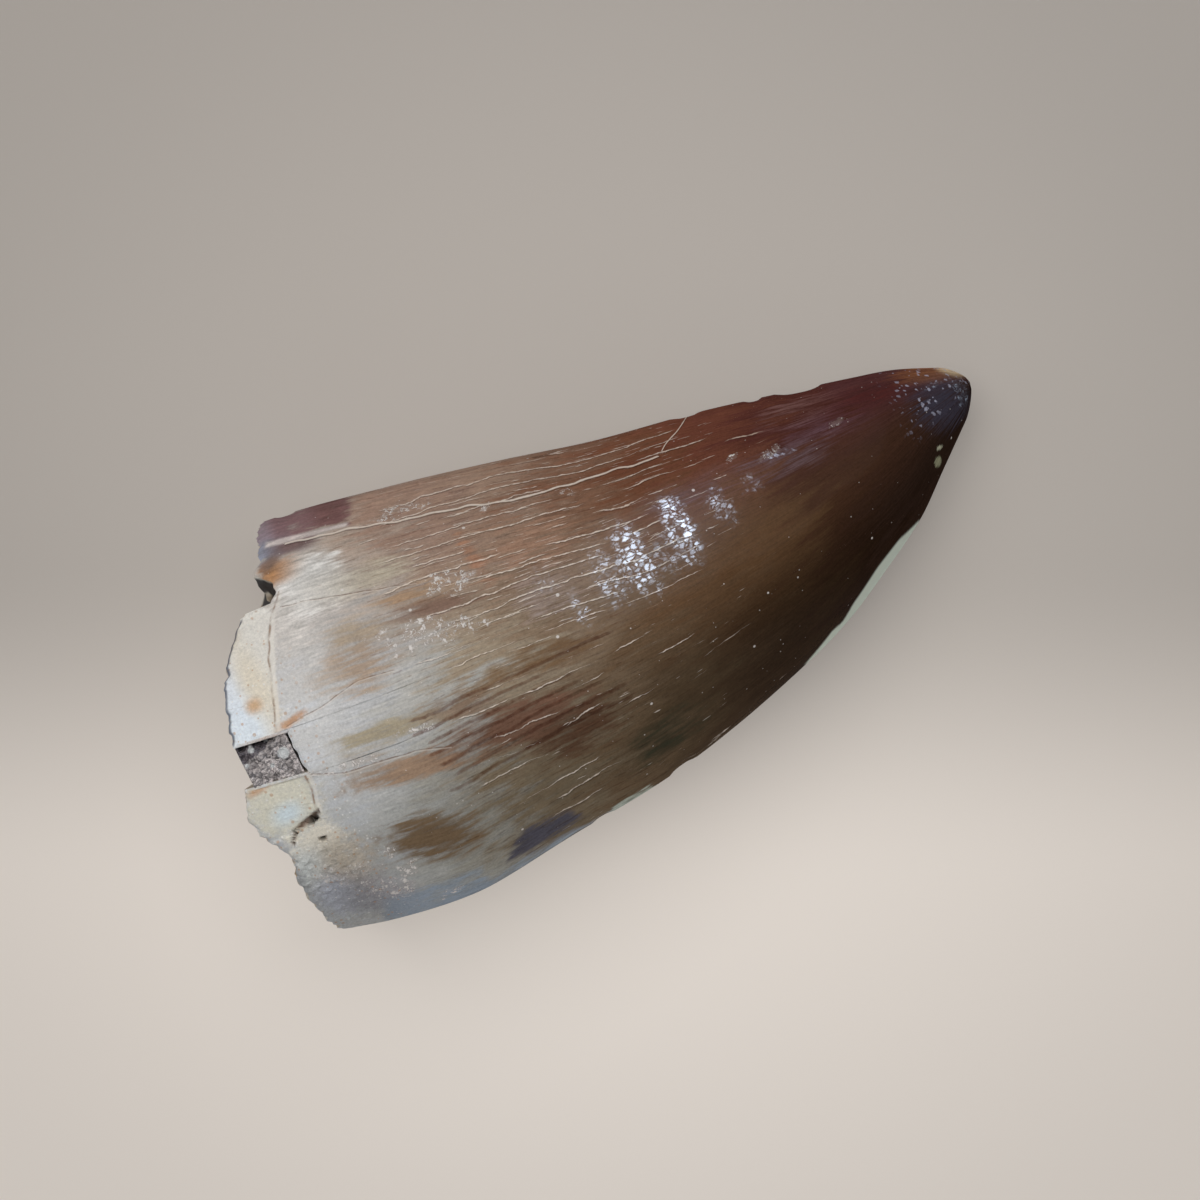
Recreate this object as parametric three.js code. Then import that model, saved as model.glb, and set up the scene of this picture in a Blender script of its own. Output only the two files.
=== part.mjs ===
// A fossil mosasaur tooth, lying on its flatter face with its tip towards +X.
// All lengths are in millimetres. A station is a distance along the tooth, from the broken base to the tip.
// An angle runs round a cross-section: 0 at the upper cutting edge (+Y), 90 on the upward face,
// 180 at the lower cutting edge (-Y) and 270 on the underside.
import * as THREE from 'three';

const toothLength = 55;

// Edges of the crown seen from above, as [station, y]
const upperEdge = [
  [0, 14.6], [9.4, 14], [18, 12.3], [25, 10.6], [31, 9], [37.7, 7.65],
  [43, 6.35], [48, 5.05], [50.8, 4.25], [53.4, 3.1], [55, 2.3],
];
const lowerEdge = [
  [0, -11.7], [2, -12.2], [5, -13.05], [9, -13.8], [12, -14], [18, -13.5], [25, -13], [31, -11.95],
  [37.7, -10.2], [41, -9], [44.2, -7.4], [48, -5.3], [50.8, -3.1], [53.4, -1.05], [55, 0.2],
];
const tipRadius = 1.5;

// Cross-section: the two faces bulge from the cutting edges by these shares of the half width
const upperBulge = 0.85;
const lowerBulge = 0.6;

// Each face grows fuller between its two stations
const fullness = { gain: 0.15, upper: [14, 34], lower: [40, 55] };
const edgePinch = 0.25; // share of the section that is lens-shaped instead of elliptical
const restingDepth = 0.2; // the underside is worn flat by this much where the tooth rests
const liftStart = 34; // from this station on, the tooth bends up off the ground
const tipLift = 3;

// Broken base: how far along the tooth each part of its ragged rim lies, as [angle, station]
const brokenRim = [
  [0, 9.4], [33.7, 8.1], [44.4, 6.7], [53.5, 5.3], [62.4, 3.6], [73, 2.3], [81.6, 1.7], [88, 1.4],
  [101.5, 0.8], [105, 0.3], [109.5, 0], [114.8, 0.15], [121.7, 1.05], [126.7, 1.45], [133.6, 1],
  [143, 1.05], [159.4, 1.4], [180, 2.1], [200, 2.6], [222, 1.4], [240, 1.9], [262, 1.6], [285, 2.4],
  [297, 3.9], [305, 5.5], [312, 6.9], [325, 8.3], [345, 9], [360, 9.4],
];
const gap = { from: 88, to: 101.5, station: 4.85 }; // missing piece that bares the sediment
const pocket = { from: 39.5, to: 52, station: 8.3 }; // missing piece that opens into the hollow root

// Pulp cavity
const wallThickness = 2;
const cavityEnd = 15;
const rimSlope = 0.4;

// Pieces of the base that broke and settled a little lower than the crown, as their outer corners
const settledPieces = [
  { from: 56, to: 88, edge: [[56, 7.2], [62, 6.4], [74, 5.5], [88, 4.2]], drop: 0.18 },
  { from: 101.5, to: 121, edge: [[101.5, 4.6], [112, 5], [121, 5.2]], drop: 0.22 },
];

// The rough lobe at the lower corner: its lumps are waves along the tooth and round it, mixed by the skew
const lobe = { from: 126, to: 172, station: 6, roughness: 0.12, lengthWave: 2.6, turnWave: 0.45, skew: 0.5 };

// Chips along the cutting edges: bites out of the edge, and one long flake off the upward face
const edgeBites = [
  { side: 1, station: 44.6, reach: 1.5, depth: 0.24 },
  { side: 1, station: 41.6, reach: 0.6, depth: 0.16 },
  { side: 1, station: 37.2, reach: 0.9, depth: 0.14 },
  { side: 1, station: 10.8, reach: 0.7, depth: 0.12 },
  { side: -1, station: 26.5, reach: 1, depth: 0.16 },
  { side: -1, station: 20.4, reach: 0.8, depth: 0.12 },
];
const biteSharpness = 12; // how quickly a bite fades away from the edge
const flake = [
  [36.6, 0], [38.4, 0.3], [39.4, 0.5], [40.2, 0.3], [41.4, 0.75], [43.8, 0.95], [46, 0.6], [47.9, 0],
];
const flakeBow = 1.5; // how hollow the flaked strip is

// Shallow flutes along the crown, which rise and fade between these stations
const flutes = { depth: 0.1, count: 7, rise: [6, 14], fade: [40, 52] };

// Sediment in the cavity
const clearance = 0.3;
const sedimentRecess = 0.9;
const sedimentInGap = { front: 1.4, depth: 0.6 }; // the depth is measured from the crown's surface
const sedimentMiddle = 2.3; // station of the middle of its face
const sedimentLumps = { height: 0.35, coarseWave: 1.2, fineWave: 2.1 };
const faceBow = 3; // how sharply the face turns forward at its edge
const pocketHollow = { depth: 4.5, near: 0.4, far: 1 }; // near and far are distances in widths of the pocket
const ledgeStep = 0.05;

// Mesh fineness
const toothColumns = 76;
const crownRings = 40;
const ringCrowding = 0.7; // how much closer the rings stand at the tip and at the rim
const cavityRings = 6;
const sedimentColumns = 52;
const faceRings = 6;
const sideRings = 6;
const firstSideStep = 0.6;
const wallSliver = 0.3; // degrees on either side of a steep wall

const radians = THREE.MathUtils.degToRad;
const { clamp, smoothstep, lerp } = THREE.MathUtils;

// Height of the smooth curve through the points at one place, with slopes taken from the neighbours
function smoothThrough(points, place) {
  const last = points.length - 2;
  let index = 0;
  while (index < last && place > points[index + 1][0]) index += 1;
  const [x0, y0] = points[index];
  const [x1, y1] = points[index + 1];
  const before = points[Math.max(index - 1, 0)];
  const after = points[Math.min(index + 2, points.length - 1)];
  const slope0 = (y1 - before[1]) / (x1 - before[0]);
  const slope1 = (after[1] - y0) / (after[0] - x0);
  const span = x1 - x0;
  const t = clamp((place - x0) / span, 0, 1);
  const rise = t * t * (3 - 2 * t);
  const curl = t * (1 - t);
  return lerp(y0, y1, rise) + span * curl * ((1 - t) * slope0 - t * slope1);
}

// Height of the straight-sided line through the points at one place
function straightThrough(points, place) {
  const last = points.length - 2;
  let index = 0;
  while (index < last && place > points[index + 1][0]) index += 1;
  const [x0, y0] = points[index];
  const [x1, y1] = points[index + 1];
  return lerp(y0, y1, clamp((place - x0) / (x1 - x0), 0, 1));
}

function isWithin(angle, { from, to }) {
  return angle > from && angle < to;
}

// The station where the broken rim lies at an angle
function rimStation(angle) {
  if (isWithin(angle, gap)) return gap.station;
  if (isWithin(angle, pocket)) return pocket.station;
  return straightThrough(brokenRim, angle);
}

// Middle, half width and edge height of the crown at a station
function sectionAt(station) {
  const upper = smoothThrough(upperEdge, station);
  const lower = smoothThrough(lowerEdge, station);
  const toTip = clamp((toothLength - station) / tipRadius, 0, 1);
  const rounding = Math.sqrt(1 - (1 - toTip) ** 2);
  const halfWidth = (upper - lower) / 2 * rounding;
  const lift = tipLift * Math.max((station - liftStart) / (toothLength - liftStart), 0) ** 2;
  const edgeHeight = lowerBulge * halfWidth - restingDepth + lift;
  return { middle: (upper + lower) / 2, halfWidth, edgeHeight };
}

// How far the surface stands out (or in) from the plain section
function reliefAt(station, angle) {
  const fluted = smoothstep(station, ...flutes.rise) * (1 - smoothstep(station, ...flutes.fade));
  let relief = flutes.depth * fluted * Math.cos(radians(angle * flutes.count));
  for (const piece of settledPieces) {
    if (isWithin(angle, piece) && station < straightThrough(piece.edge, angle)) relief -= piece.drop;
  }
  if (isWithin(angle, lobe) && station < lobe.station) {
    const lengthways = lobe.lengthWave * station;
    const round = lobe.turnWave * angle;
    const lumps = Math.sin(lengthways + lobe.skew * round) * Math.cos(round - lobe.skew * lengthways);
    relief += lobe.roughness * lumps * (1 - station / lobe.station);
  }
  return relief;
}

// How deep the edge is bitten at a station, on one side
function biteAt(station, side) {
  let depth = 0;
  for (const bite of edgeBites) {
    const away = Math.abs(station - bite.station) / bite.reach;
    if (bite.side === side && away < 1) depth += bite.depth * (1 - away ** 3);
  }
  return depth;
}

// A point of the crown's section, shrunk inwards by an inset
function sectionPoint(station, angle, inset) {
  const { middle, halfWidth, edgeHeight } = sectionAt(station);
  const across = Math.cos(radians(angle));
  const up = Math.sin(radians(angle));
  const plainBulge = up > 0 ? upperBulge : lowerBulge;
  const [from, to] = up > 0 ? fullness.upper : fullness.lower;
  const bulge = plainBulge + fullness.gain * smoothstep(station, from, to);
  const reach = Math.max(halfWidth - inset, 0);
  const rise = Math.max(bulge * halfWidth - inset, 0);
  const lens = up * Math.abs(up);
  return new THREE.Vector3(station, middle + reach * across, edgeHeight + rise * lerp(up, lens, edgePinch));
}

// The outer surface of the tooth
function outerPoint(station, angle) {
  const point = sectionPoint(station, angle, -reliefAt(station, angle) * Math.abs(Math.sin(radians(angle))));
  const { middle, halfWidth, edgeHeight } = sectionAt(station);
  const across = Math.cos(radians(angle));
  point.y -= Math.sign(across) * biteAt(station, Math.sign(across)) * Math.abs(across) ** biteSharpness;
  const flakeWidth = straightThrough(flake, station);
  const fromEdge = halfWidth * (1 + across);
  if (angle < 180 && fromEdge < flakeWidth) {
    const innerAngle = THREE.MathUtils.radToDeg(Math.acos(flakeWidth / halfWidth - 1));
    const innerHeight = sectionPoint(station, innerAngle, 0).z;
    point.z = lerp(edgeHeight, innerHeight, (fromEdge / flakeWidth) ** flakeBow);
  }
  point.z = Math.max(point.z, 0);
  return point;
}

// The middle of the pulp cavity at a station
function cavityCentre(station) {
  const { middle, halfWidth, edgeHeight } = sectionAt(station);
  return new THREE.Vector3(station, middle, edgeHeight + halfWidth * (upperBulge - lowerBulge) / 2);
}

// The wall of the pulp cavity, a bullet shape, drawn in by an extra inset
function cavityPoint(station, angle, inset = 0) {
  const narrowing = Math.sqrt(Math.max(1 - (station / cavityEnd) ** 2, 0));
  const centre = cavityCentre(station);
  const outwards = sectionPoint(station, angle, wallThickness).sub(centre).multiplyScalar(narrowing);
  const length = Math.max(outwards.length() - inset, 0);
  return centre.add(outwards.setLength(length));
}

// Angles round the tooth, evenly spaced, with a close pair at each steep wall
function columnAngles(count, walls) {
  const even = Array.from({ length: count }, (unused, index) => index * 360 / count);
  const clear = even.filter((angle) => walls.every((wall) => Math.abs(angle - wall) > 4 * wallSliver));
  const pairs = walls.flatMap((wall) => [wall - wallSliver, wall + wallSliver]);
  return [...clear, ...pairs].sort((a, b) => a - b);
}

// A closed skin over rings of points, with one point at its start and one at its end
function closedSkin(startPoint, rings, endPoint) {
  const columns = rings[0].length;
  const points = [startPoint, ...rings.flat(), endPoint];
  const triangles = [];
  const at = (ring, column) => 1 + ring * columns + column % columns;
  for (let column = 0; column < columns; column += 1) {
    triangles.push(0, at(0, column), at(0, column + 1));
    for (let ring = 0; ring + 1 < rings.length; ring += 1) {
      const [a, b] = [at(ring, column), at(ring, column + 1)];
      const [c, d] = [at(ring + 1, column), at(ring + 1, column + 1)];
      triangles.push(a, c, d, a, d, b);
    }
    triangles.push(points.length - 1, at(rings.length - 1, column + 1), at(rings.length - 1, column));
  }
  const geometry = new THREE.BufferGeometry().setFromPoints(points);
  geometry.setIndex(triangles);
  geometry.computeVertexNormals();
  return geometry;
}

function namedMesh(name, geometry, finish) {
  geometry.translate(-toothLength / 2, 0, 0);
  const mesh = new THREE.Mesh(geometry, new THREE.MeshStandardMaterial(finish));
  mesh.name = name;
  return mesh;
}

// The tooth: from the tip over the crown to the broken rim, then down the wall of the pulp cavity
function makeTooth() {
  const angles = columnAngles(toothColumns, [gap.from, gap.to, pocket.from, pocket.to]);
  const rings = [];
  for (let ring = 1; ring <= crownRings; ring += 1) {
    const even = 1 - ring / crownRings;
    const share = even - ringCrowding * Math.sin(2 * Math.PI * even) / (2 * Math.PI);
    rings.push(angles.map((angle) => outerPoint(lerp(rimStation(angle), toothLength, share), angle)));
  }
  for (let ring = 0; ring < cavityRings; ring += 1) {
    const share = Math.sin(ring / cavityRings * Math.PI / 2);
    const stationAt = (angle) => lerp(rimStation(angle) + rimSlope, cavityEnd, share);
    rings.push(angles.map((angle) => cavityPoint(stationAt(angle), angle)));
  }
  const geometry = closedSkin(outerPoint(toothLength, 90), rings, cavityCentre(cavityEnd));
  return namedMesh('tooth', geometry, { color: 0x8a6a4a, roughness: 0.35, metalness: 0 });
}

// Where the sediment stands out into the gap of the broken rim
const gapMargin = THREE.MathUtils.radToDeg(clearance / sectionAt(0).halfWidth) + 2 * wallSliver;
const sedimentInRim = {
  from: gap.from + gapMargin,
  to: gap.to - gapMargin,
  station: gap.station - clearance,
};

// The station where the face of the sediment meets its side; it is washed out deeper behind the pocket
function sedimentFront(angle) {
  if (isWithin(angle, sedimentInRim)) return sedimentInGap.front;
  const away = Math.abs(angle - (pocket.from + pocket.to) / 2) / (pocket.to - pocket.from);
  const hollow = pocketHollow.depth * (1 - smoothstep(away, pocketHollow.near, pocketHollow.far));
  return straightThrough(brokenRim, angle) + sedimentRecess + hollow;
}

function sedimentSide(station, angle) {
  const fillsGap = isWithin(angle, sedimentInRim) && station < sedimentInRim.station;
  if (fillsGap) return sectionPoint(station, angle, sedimentInGap.depth);
  return cavityPoint(station, angle, clearance);
}

// Stations of the sediment's side rings, with a close pair where the part that fills the gap ends
function sedimentStations(angle) {
  const innerEnd = cavityEnd - 2 * clearance;
  const stations = Array.from({ length: sideRings }, (unused, ring) => (
    lerp(sedimentFront(angle), innerEnd, Math.sin((ring + firstSideStep) / sideRings * Math.PI / 2))
  ));
  if (sedimentFront(angle) < sedimentInRim.station - ledgeStep) {
    stations[0] = sedimentInRim.station - ledgeStep;
    stations[1] = sedimentInRim.station + ledgeStep;
  }
  return stations;
}

// How far the lumps of the sediment's face stand out at a point
function lumpAt({ y, z }) {
  const { height, coarseWave, fineWave } = sedimentLumps;
  return height * (Math.sin(coarseWave * y) * Math.cos(coarseWave * z) + Math.sin(fineWave * (y + z)) / 2);
}

// The sediment that fills the pulp cavity: its lumpy face, then its sides down to the cavity's end
function makeSediment() {
  const angles = columnAngles(sedimentColumns, [sedimentInRim.from, sedimentInRim.to]);
  const middle = cavityCentre(sedimentMiddle);
  const rings = [];
  for (let ring = 1; ring <= faceRings; ring += 1) {
    const share = ring / faceRings;
    rings.push(angles.map((angle) => {
      const edge = sedimentSide(sedimentFront(angle), angle);
      const point = middle.clone().lerp(edge, share);
      point.x = lerp(middle.x, edge.x, share ** faceBow) + lumpAt(point) * (1 - share ** faceBow);
      return point;
    }));
  }
  for (let ring = 0; ring < sideRings; ring += 1) {
    rings.push(angles.map((angle) => sedimentSide(sedimentStations(angle)[ring], angle)));
  }
  const geometry = closedSkin(cavityCentre(cavityEnd - clearance), rings.reverse(), middle);
  return namedMesh('matrix_plug', geometry, { color: 0x7c7672, roughness: 0.95, metalness: 0 });
}

const fossil = new THREE.Group();
fossil.name = 'fossil_tooth';
fossil.add(makeTooth());
fossil.add(makeSediment());

export default fossil;
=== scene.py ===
import math

import bpy
import numpy as np
from bpy.props import FloatProperty, FloatVectorProperty, IntProperty, PointerProperty
from mathutils import Matrix, Vector


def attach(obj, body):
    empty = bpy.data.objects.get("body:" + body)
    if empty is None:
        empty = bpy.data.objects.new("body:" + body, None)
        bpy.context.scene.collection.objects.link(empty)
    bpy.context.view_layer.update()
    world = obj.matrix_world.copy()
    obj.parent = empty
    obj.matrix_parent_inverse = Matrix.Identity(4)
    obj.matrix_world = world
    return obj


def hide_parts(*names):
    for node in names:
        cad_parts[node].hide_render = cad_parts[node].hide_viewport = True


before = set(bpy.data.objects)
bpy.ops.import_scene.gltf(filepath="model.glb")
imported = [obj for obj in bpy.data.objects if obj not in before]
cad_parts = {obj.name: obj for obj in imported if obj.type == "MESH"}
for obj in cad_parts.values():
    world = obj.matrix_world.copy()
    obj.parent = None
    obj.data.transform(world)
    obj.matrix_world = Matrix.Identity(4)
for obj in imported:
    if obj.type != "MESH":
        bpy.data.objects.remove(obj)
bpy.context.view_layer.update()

bl_info = {
    "name": "Fossil mosasaur tooth",
    "version": (1, 0, 0),
    "blender": (4, 5, 0),
    "location": "3D View > Sidebar > Fossil tooth",
    "description": "Builds a fossil tooth with cracked enamel, a broken base and the sediment in its root",
    "category": "Object",
}

MM = 0.001

# The crown's form, in millimetres. A station runs along the tooth from the broken base (0) to the tip,
# and an angle runs round it: 0 at the upper cutting edge (+Y), 90 on the upward face, 180 at the lower one.
NOMINAL_LENGTH = 55
UPPER_EDGE = [
    (0, 14.6), (9.4, 14), (18, 12.3), (25, 10.6), (31, 9), (37.7, 7.65),
    (43, 6.35), (48, 5.05), (50.8, 4.25), (53.4, 3.1), (55, 2.3),
]
LOWER_EDGE = [
    (0, -11.7), (2, -12.2), (5, -13.05), (9, -13.8), (12, -14), (18, -13.5), (25, -13), (31, -11.95),
    (37.7, -10.2), (41, -9), (44.2, -7.4), (48, -5.3), (50.8, -3.1), (53.4, -1.05), (55, 0.2),
]
TIP_RADIUS = 1.5
UPPER_BULGE = 0.84
LOWER_BULGE = 0.6
FULLNESS = 0.15  # gain of the bulge towards the tip, between these stations of each face
UPPER_FULLNESS = (4, 34)
LOWER_FULLNESS = (40, 55)
EDGE_PINCH = 0.25
TO_MIDDLE = np.array([-NOMINAL_LENGTH / 2, 0, 0])  # moves a point from its station to the shared frame
RESTING_DEPTH = 0.2
LIFT_START = 34
TIP_LIFT = 3
BROKEN_RIM = [
    (0, 9.4), (33.7, 8.1), (44.4, 6.7), (53.5, 5.3), (62.4, 3.6), (73, 2.3), (81.6, 1.7), (88, 1.4),
    (101.5, 0.8), (105, 0.3), (109.5, 0), (114.8, 0.15), (121.7, 1.05), (126.7, 1.45), (133.6, 1),
    (143, 1.05), (159.4, 1.4), (180, 2.1), (200, 2.6), (222, 1.4), (240, 1.9), (262, 1.6), (285, 2.4),
    (297, 3.9), (305, 5.5), (312, 6.9), (325, 8.3), (345, 9), (360, 9.4),
]
GAP = (88, 101.5, 4.85)  # missing piece of the rim: from angle, to angle, station it reaches
POCKET = (39.5, 52, 7.9)
WALL_THICKNESS = 2
CAVITY_END = 15
RIM_SLOPE = 0.4
EDGE_BITES = [  # side, station, reach, depth
    (1, 44.6, 1.5, 0.24), (1, 41.6, 0.6, 0.16), (1, 37.2, 0.9, 0.14), (1, 10.8, 0.7, 0.12),
    (-1, 26.5, 1, 0.16), (-1, 20.4, 0.8, 0.12),
]
FLAKE = [  # width of the flaked strip along the lower edge, by station
    (36.6, 0), (38.4, 0.25), (39.4, 0.4), (40.2, 0.25), (41.4, 0.55), (43.8, 0.68), (46, 0.55), (47.9, 0),
]
FLUTE_DEPTH = 0.1
FLUTE_COUNT = 7
FLUTES_BEGIN = (6, 14)
FLUTES_END = (40, 52)

# Relief of the crown and of its break, in millimetres
SETTLED_UPPER = (0.18, 0.22)  # how deep the settled piece of the rim lies, and how wide the slope to it is
SETTLED_LOWER = (0.22, 0.25)
SETTLED_LOWER_END = -5  # the y that the lower settled piece reaches
RIM_RADIUS = 13  # of the circle that the rim's raggedness is drawn on
RIM_WEAR = 0.22
RIM_WEAR_WIDTH = 0.4
POCKET_BOW = 0.35
SWELL = 0.006
COARSE_GRIT = 0.05
FINE_GRIT = 0.03
CRUST_HEIGHT = 0.05
SLIT_DEPTH = 0.3
SLIT_EDGE = (0.05, 0.22)  # half the slit's width at its floor and at its mouth
PIT_DEPTH = 0.7

# The mesh of the tooth
UNDERSIDE_SHARE = 0.42  # columns below for each one above
WALL_HALF = 0.12  # degrees from the wall of a missing piece to the columns on either side of it
WALL_CLEAR = 0.35  # degrees from such a wall that no other column comes within
FACE_RINGS = 8
CAVITY_RINGS = 13
SHARP_ANGLE = 38

# Breaks in the base, as (station, y) points seen from above
CRACK_A = [(8.4, 9.3), (7.2, 7.9), (6.5, 6.8), (5.5, 4.3), (4.85, 2.6), (4.3, 1.2)]
CRACK_B = [(4.7, -1.6), (4.7, -3), (4.3, -4.5)]
SLIT = [(4.4, -4.5), (3.4, -4.72), (2.5, -4.9), (1.9, -5.7)]
# Pits are sunk into the crown, and the enamel paints them near black as painted shade.
PITS = [  # station, y, half length, half width, tilt in degrees
    (3.8, -4.82, 0.32, 0.14, 8), (2.45, -5, 0.15, 0.1, -40), (3.8, -6.2, 0.17, 0.15, 0),
]

# Sediment in the root
CLEARANCE = 0.3
SEDIMENT_RECESS = 0.9
SEDIMENT_GAP_FRONT = 1.4
SEDIMENT_GAP_DEPTH = 0.24
SEDIMENT_MIDDLE = 2.3
SEDIMENT_LUMP = 0.35
POCKET_HOLLOW = 4.5
CRUMB = (7.5, 9.4, 0.4, 0.3, 20, 0.5)  # a pale crumb in the dark pocket, as the ovals below
GAP_MARGIN = 0.3
LEDGE_STEP = 0.05
BED_DIP = 1.1
GRAIN_RELIEF = [(0.1, 1.1, 41), (0.06, 0.55, 42), (0.05, 0.3, 43)]  # height, wavelength and seed
GAP_COLUMNS = 60
OTHER_COLUMNS = 200
DISC_RINGS = 70
BED_RINGS = 46
SIDE_RINGS = 18


def through(points, places):
    """Height of the smooth curve through the points at each place.

    Each span is a cubic whose end slopes are the chords through the neighbouring points.
    """
    table = np.array(points, float)
    places = np.asarray(places, float)
    index = np.clip(np.searchsorted(table[:, 0], places, side="left") - 1, 0, len(table) - 2)
    x0, y0 = table[index, 0], table[index, 1]
    x1, y1 = table[index + 1, 0], table[index + 1, 1]
    before = table[np.maximum(index - 1, 0)]
    after = table[np.minimum(index + 2, len(table) - 1)]
    slope0 = (y1 - before[..., 1]) / (x1 - before[..., 0])
    slope1 = (after[..., 1] - y0) / (after[..., 0] - x0)
    t = np.clip((places - x0) / (x1 - x0), 0, 1)
    curl = t * (1 - t) * (x1 - x0)
    return y0 + (y1 - y0) * t * t * (3 - 2 * t) + curl * ((1 - t) * slope0 - t * slope1)


def along(points, places):
    """Height of the straight-sided line through the points at each place."""
    table = np.array(points, float)
    return np.interp(places, table[:, 0], table[:, 1])


def soft_step(values, low, high):
    """0 below low, 1 above high, and an S curve between them."""
    t = np.clip((values - low) / (high - low), 0, 1)
    return t * t * (3 - 2 * t)


def ripple(points, wavelength, seed, waves=28):
    """Smooth noise, about -1 to 1: many plane waves summed, over the root of their number."""
    source = np.random.default_rng(seed)
    headings = source.normal(size=(waves, points.shape[-1]))
    headings /= np.linalg.norm(headings, axis=1)[:, None]
    headings *= 2 * math.pi / wavelength * source.uniform(0.6, 1.5, size=(waves, 1))
    phases = source.uniform(0, 2 * math.pi, waves)
    total = np.zeros(points.shape[:-1])
    for heading, phase in zip(headings, phases):
        total += np.sin(points @ heading + phase)
    return total / math.sqrt(waves)


def section_at(station):
    """Middle, half width and height of the cutting edges at each station.

    The two edges' curves give the width. It is rounded off towards the tip as a circle's arc,
    and the edges stand as high as the lower face bulges below them.
    """
    upper = through(UPPER_EDGE, station)
    lower = through(LOWER_EDGE, station)
    to_tip = np.clip((NOMINAL_LENGTH - station) / TIP_RADIUS, 0, 1)
    half_width = (upper - lower) / 2 * np.sqrt(1 - (1 - to_tip) ** 2)
    lift = TIP_LIFT * np.maximum((station - LIFT_START) / (NOMINAL_LENGTH - LIFT_START), 0) ** 2
    return (upper + lower) / 2, half_width, LOWER_BULGE * half_width - RESTING_DEPTH + lift


def section_point(station, angle, inset):
    """Point of the section: half an ellipse above the cutting edges and a flatter one below.

    The height is mixed with its own square, which pinches the section at its edges like a lens.
    """
    middle, half_width, edge_height = section_at(station)
    across, up = np.cos(np.radians(angle)), np.sin(np.radians(angle))
    upper_bulge = UPPER_BULGE + FULLNESS * soft_step(station, *UPPER_FULLNESS)
    lower_bulge = LOWER_BULGE + FULLNESS * soft_step(station, *LOWER_FULLNESS)
    bulge = np.where(up > 0, upper_bulge, lower_bulge)
    reach = np.maximum(half_width - inset, 0)
    rise = np.maximum(bulge * half_width - inset, 0)
    height = edge_height + rise * (up + (up * np.abs(up) - up) * EDGE_PINCH)
    return np.stack([station + 0 * across, middle + reach * across, height], -1)


def within(angle, span):
    """Whether each angle lies inside a span."""
    return (angle > span[0]) & (angle < span[1])


def rim_station(angle):
    """Station of the broken rim: the ragged line, with the two missing pieces cut deeper."""
    ragged = along(BROKEN_RIM, angle)
    fine = np.stack([np.cos(np.radians(angle)), np.sin(np.radians(angle))], -1) * RIM_RADIUS
    ragged = np.maximum(ragged + 0.09 * ripple(fine, 1.3, 5) + 0.05 * ripple(fine, 0.5, 6), 0)
    from_middle = (angle - sum(POCKET[:2]) / 2) / (POCKET[1] - POCKET[0])
    bow = POCKET_BOW - 3.2 * from_middle ** 2
    ragged = np.where(within(angle, POCKET), POCKET[2] + bow + 0.12 * ripple(fine, 1.1, 7), ragged)
    return np.where(within(angle, GAP), GAP[2] + 0.12 * ripple(fine, 0.9, 8), ragged)


def side_of(points, station, y):
    """Signed distance in millimetres from a line that runs across the tooth, positive towards the tip."""
    table = np.array(sorted((p[1], p[0]) for p in points))
    return station - np.interp(y, table[:, 0], table[:, 1])


def cavity_centre(station):
    """Middle of the pulp cavity at a station: halfway between the tops of the two faces' bulges."""
    middle, half_width, edge_height = section_at(station)
    return np.stack([station, middle, edge_height + half_width * (UPPER_BULGE - LOWER_BULGE) / 2], -1)


def cavity_point(station, angle, inset=0.0):
    """Point of the pulp cavity's wall: the section shrunk to nothing at the cavity's end, as an ellipse."""
    narrowing = np.sqrt(np.maximum(1 - (station / CAVITY_END) ** 2, 0))[..., None]
    centre = cavity_centre(station)
    outwards = (section_point(station, angle, WALL_THICKNESS) - centre) * narrowing
    length = np.linalg.norm(outwards, axis=-1, keepdims=True)
    return centre + outwards * np.maximum(length - inset, 0) / np.maximum(length, 1e-6)


def outer_point(station, angle):
    """Point of the crown: the section with its flutes, settled pieces, bitten edges and flaked lower edge."""
    up = np.sin(np.radians(angle))
    across = np.cos(np.radians(angle))
    plain = section_point(station, angle, 0)
    y = plain[..., 1]
    top = up > 0
    fade = soft_step(station, *FLUTES_BEGIN) * (1 - soft_step(station, *FLUTES_END))
    relief = FLUTE_DEPTH * fade * np.cos(np.radians(angle * FLUTE_COUNT))
    wobble = 0.1 * ripple(plain[..., :2], 1.6, 21) + 0.04 * ripple(plain[..., :2], 0.5, 22)
    upper_piece = top & (angle < GAP[0]) & (angle > POCKET[1] + 1)
    lower_piece = top & (angle > GAP[1]) & (y > SETTLED_LOWER_END + 0.3 * wobble)
    pieces = ((upper_piece, CRACK_A, SETTLED_UPPER), (lower_piece, CRACK_B, SETTLED_LOWER))
    for piece, line, (depth, slope) in pieces:
        relief = relief - depth * piece * soft_step(wobble - side_of(line, station, y), 0, slope)
    point = section_point(station, angle, -relief * np.abs(up))
    _, half_width, edge_height = section_at(station)
    for side, place, reach, depth in EDGE_BITES:
        away = np.minimum(np.abs(station + 0.12 * wobble - place) / reach, 1)
        bitten = depth * (1 - away ** 3) * np.abs(across) ** 12 * (np.sign(across) == side)
        point[..., 1] -= side * bitten
    width = np.maximum(along(FLAKE, station), 1e-6)
    from_edge = half_width * (1 + across)
    inner = np.degrees(np.arccos(np.clip(width / np.maximum(half_width, 1e-6) - 1, -1, 1)))
    inner_height = section_point(station, inner, 0)[..., 2]
    share = np.clip(from_edge / width, 0, 1)
    flaked = edge_height + (inner_height - edge_height) * share ** 1.5
    point[..., 2] = np.where(top & (from_edge < width) & (width > 0.01), flaked, point[..., 2])
    point[..., 2] = np.maximum(point[..., 2], 0)
    return point


def surface_normals(grid):
    """Unit normals of a grid of points that closes on itself sideways, from its neighbours' differences."""
    down = np.gradient(grid, axis=0)
    sideways = np.roll(grid, -1, axis=1) - np.roll(grid, 1, axis=1)
    normals = np.cross(down, sideways)
    return normals / np.maximum(np.linalg.norm(normals, axis=-1, keepdims=True), 1e-9)


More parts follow.
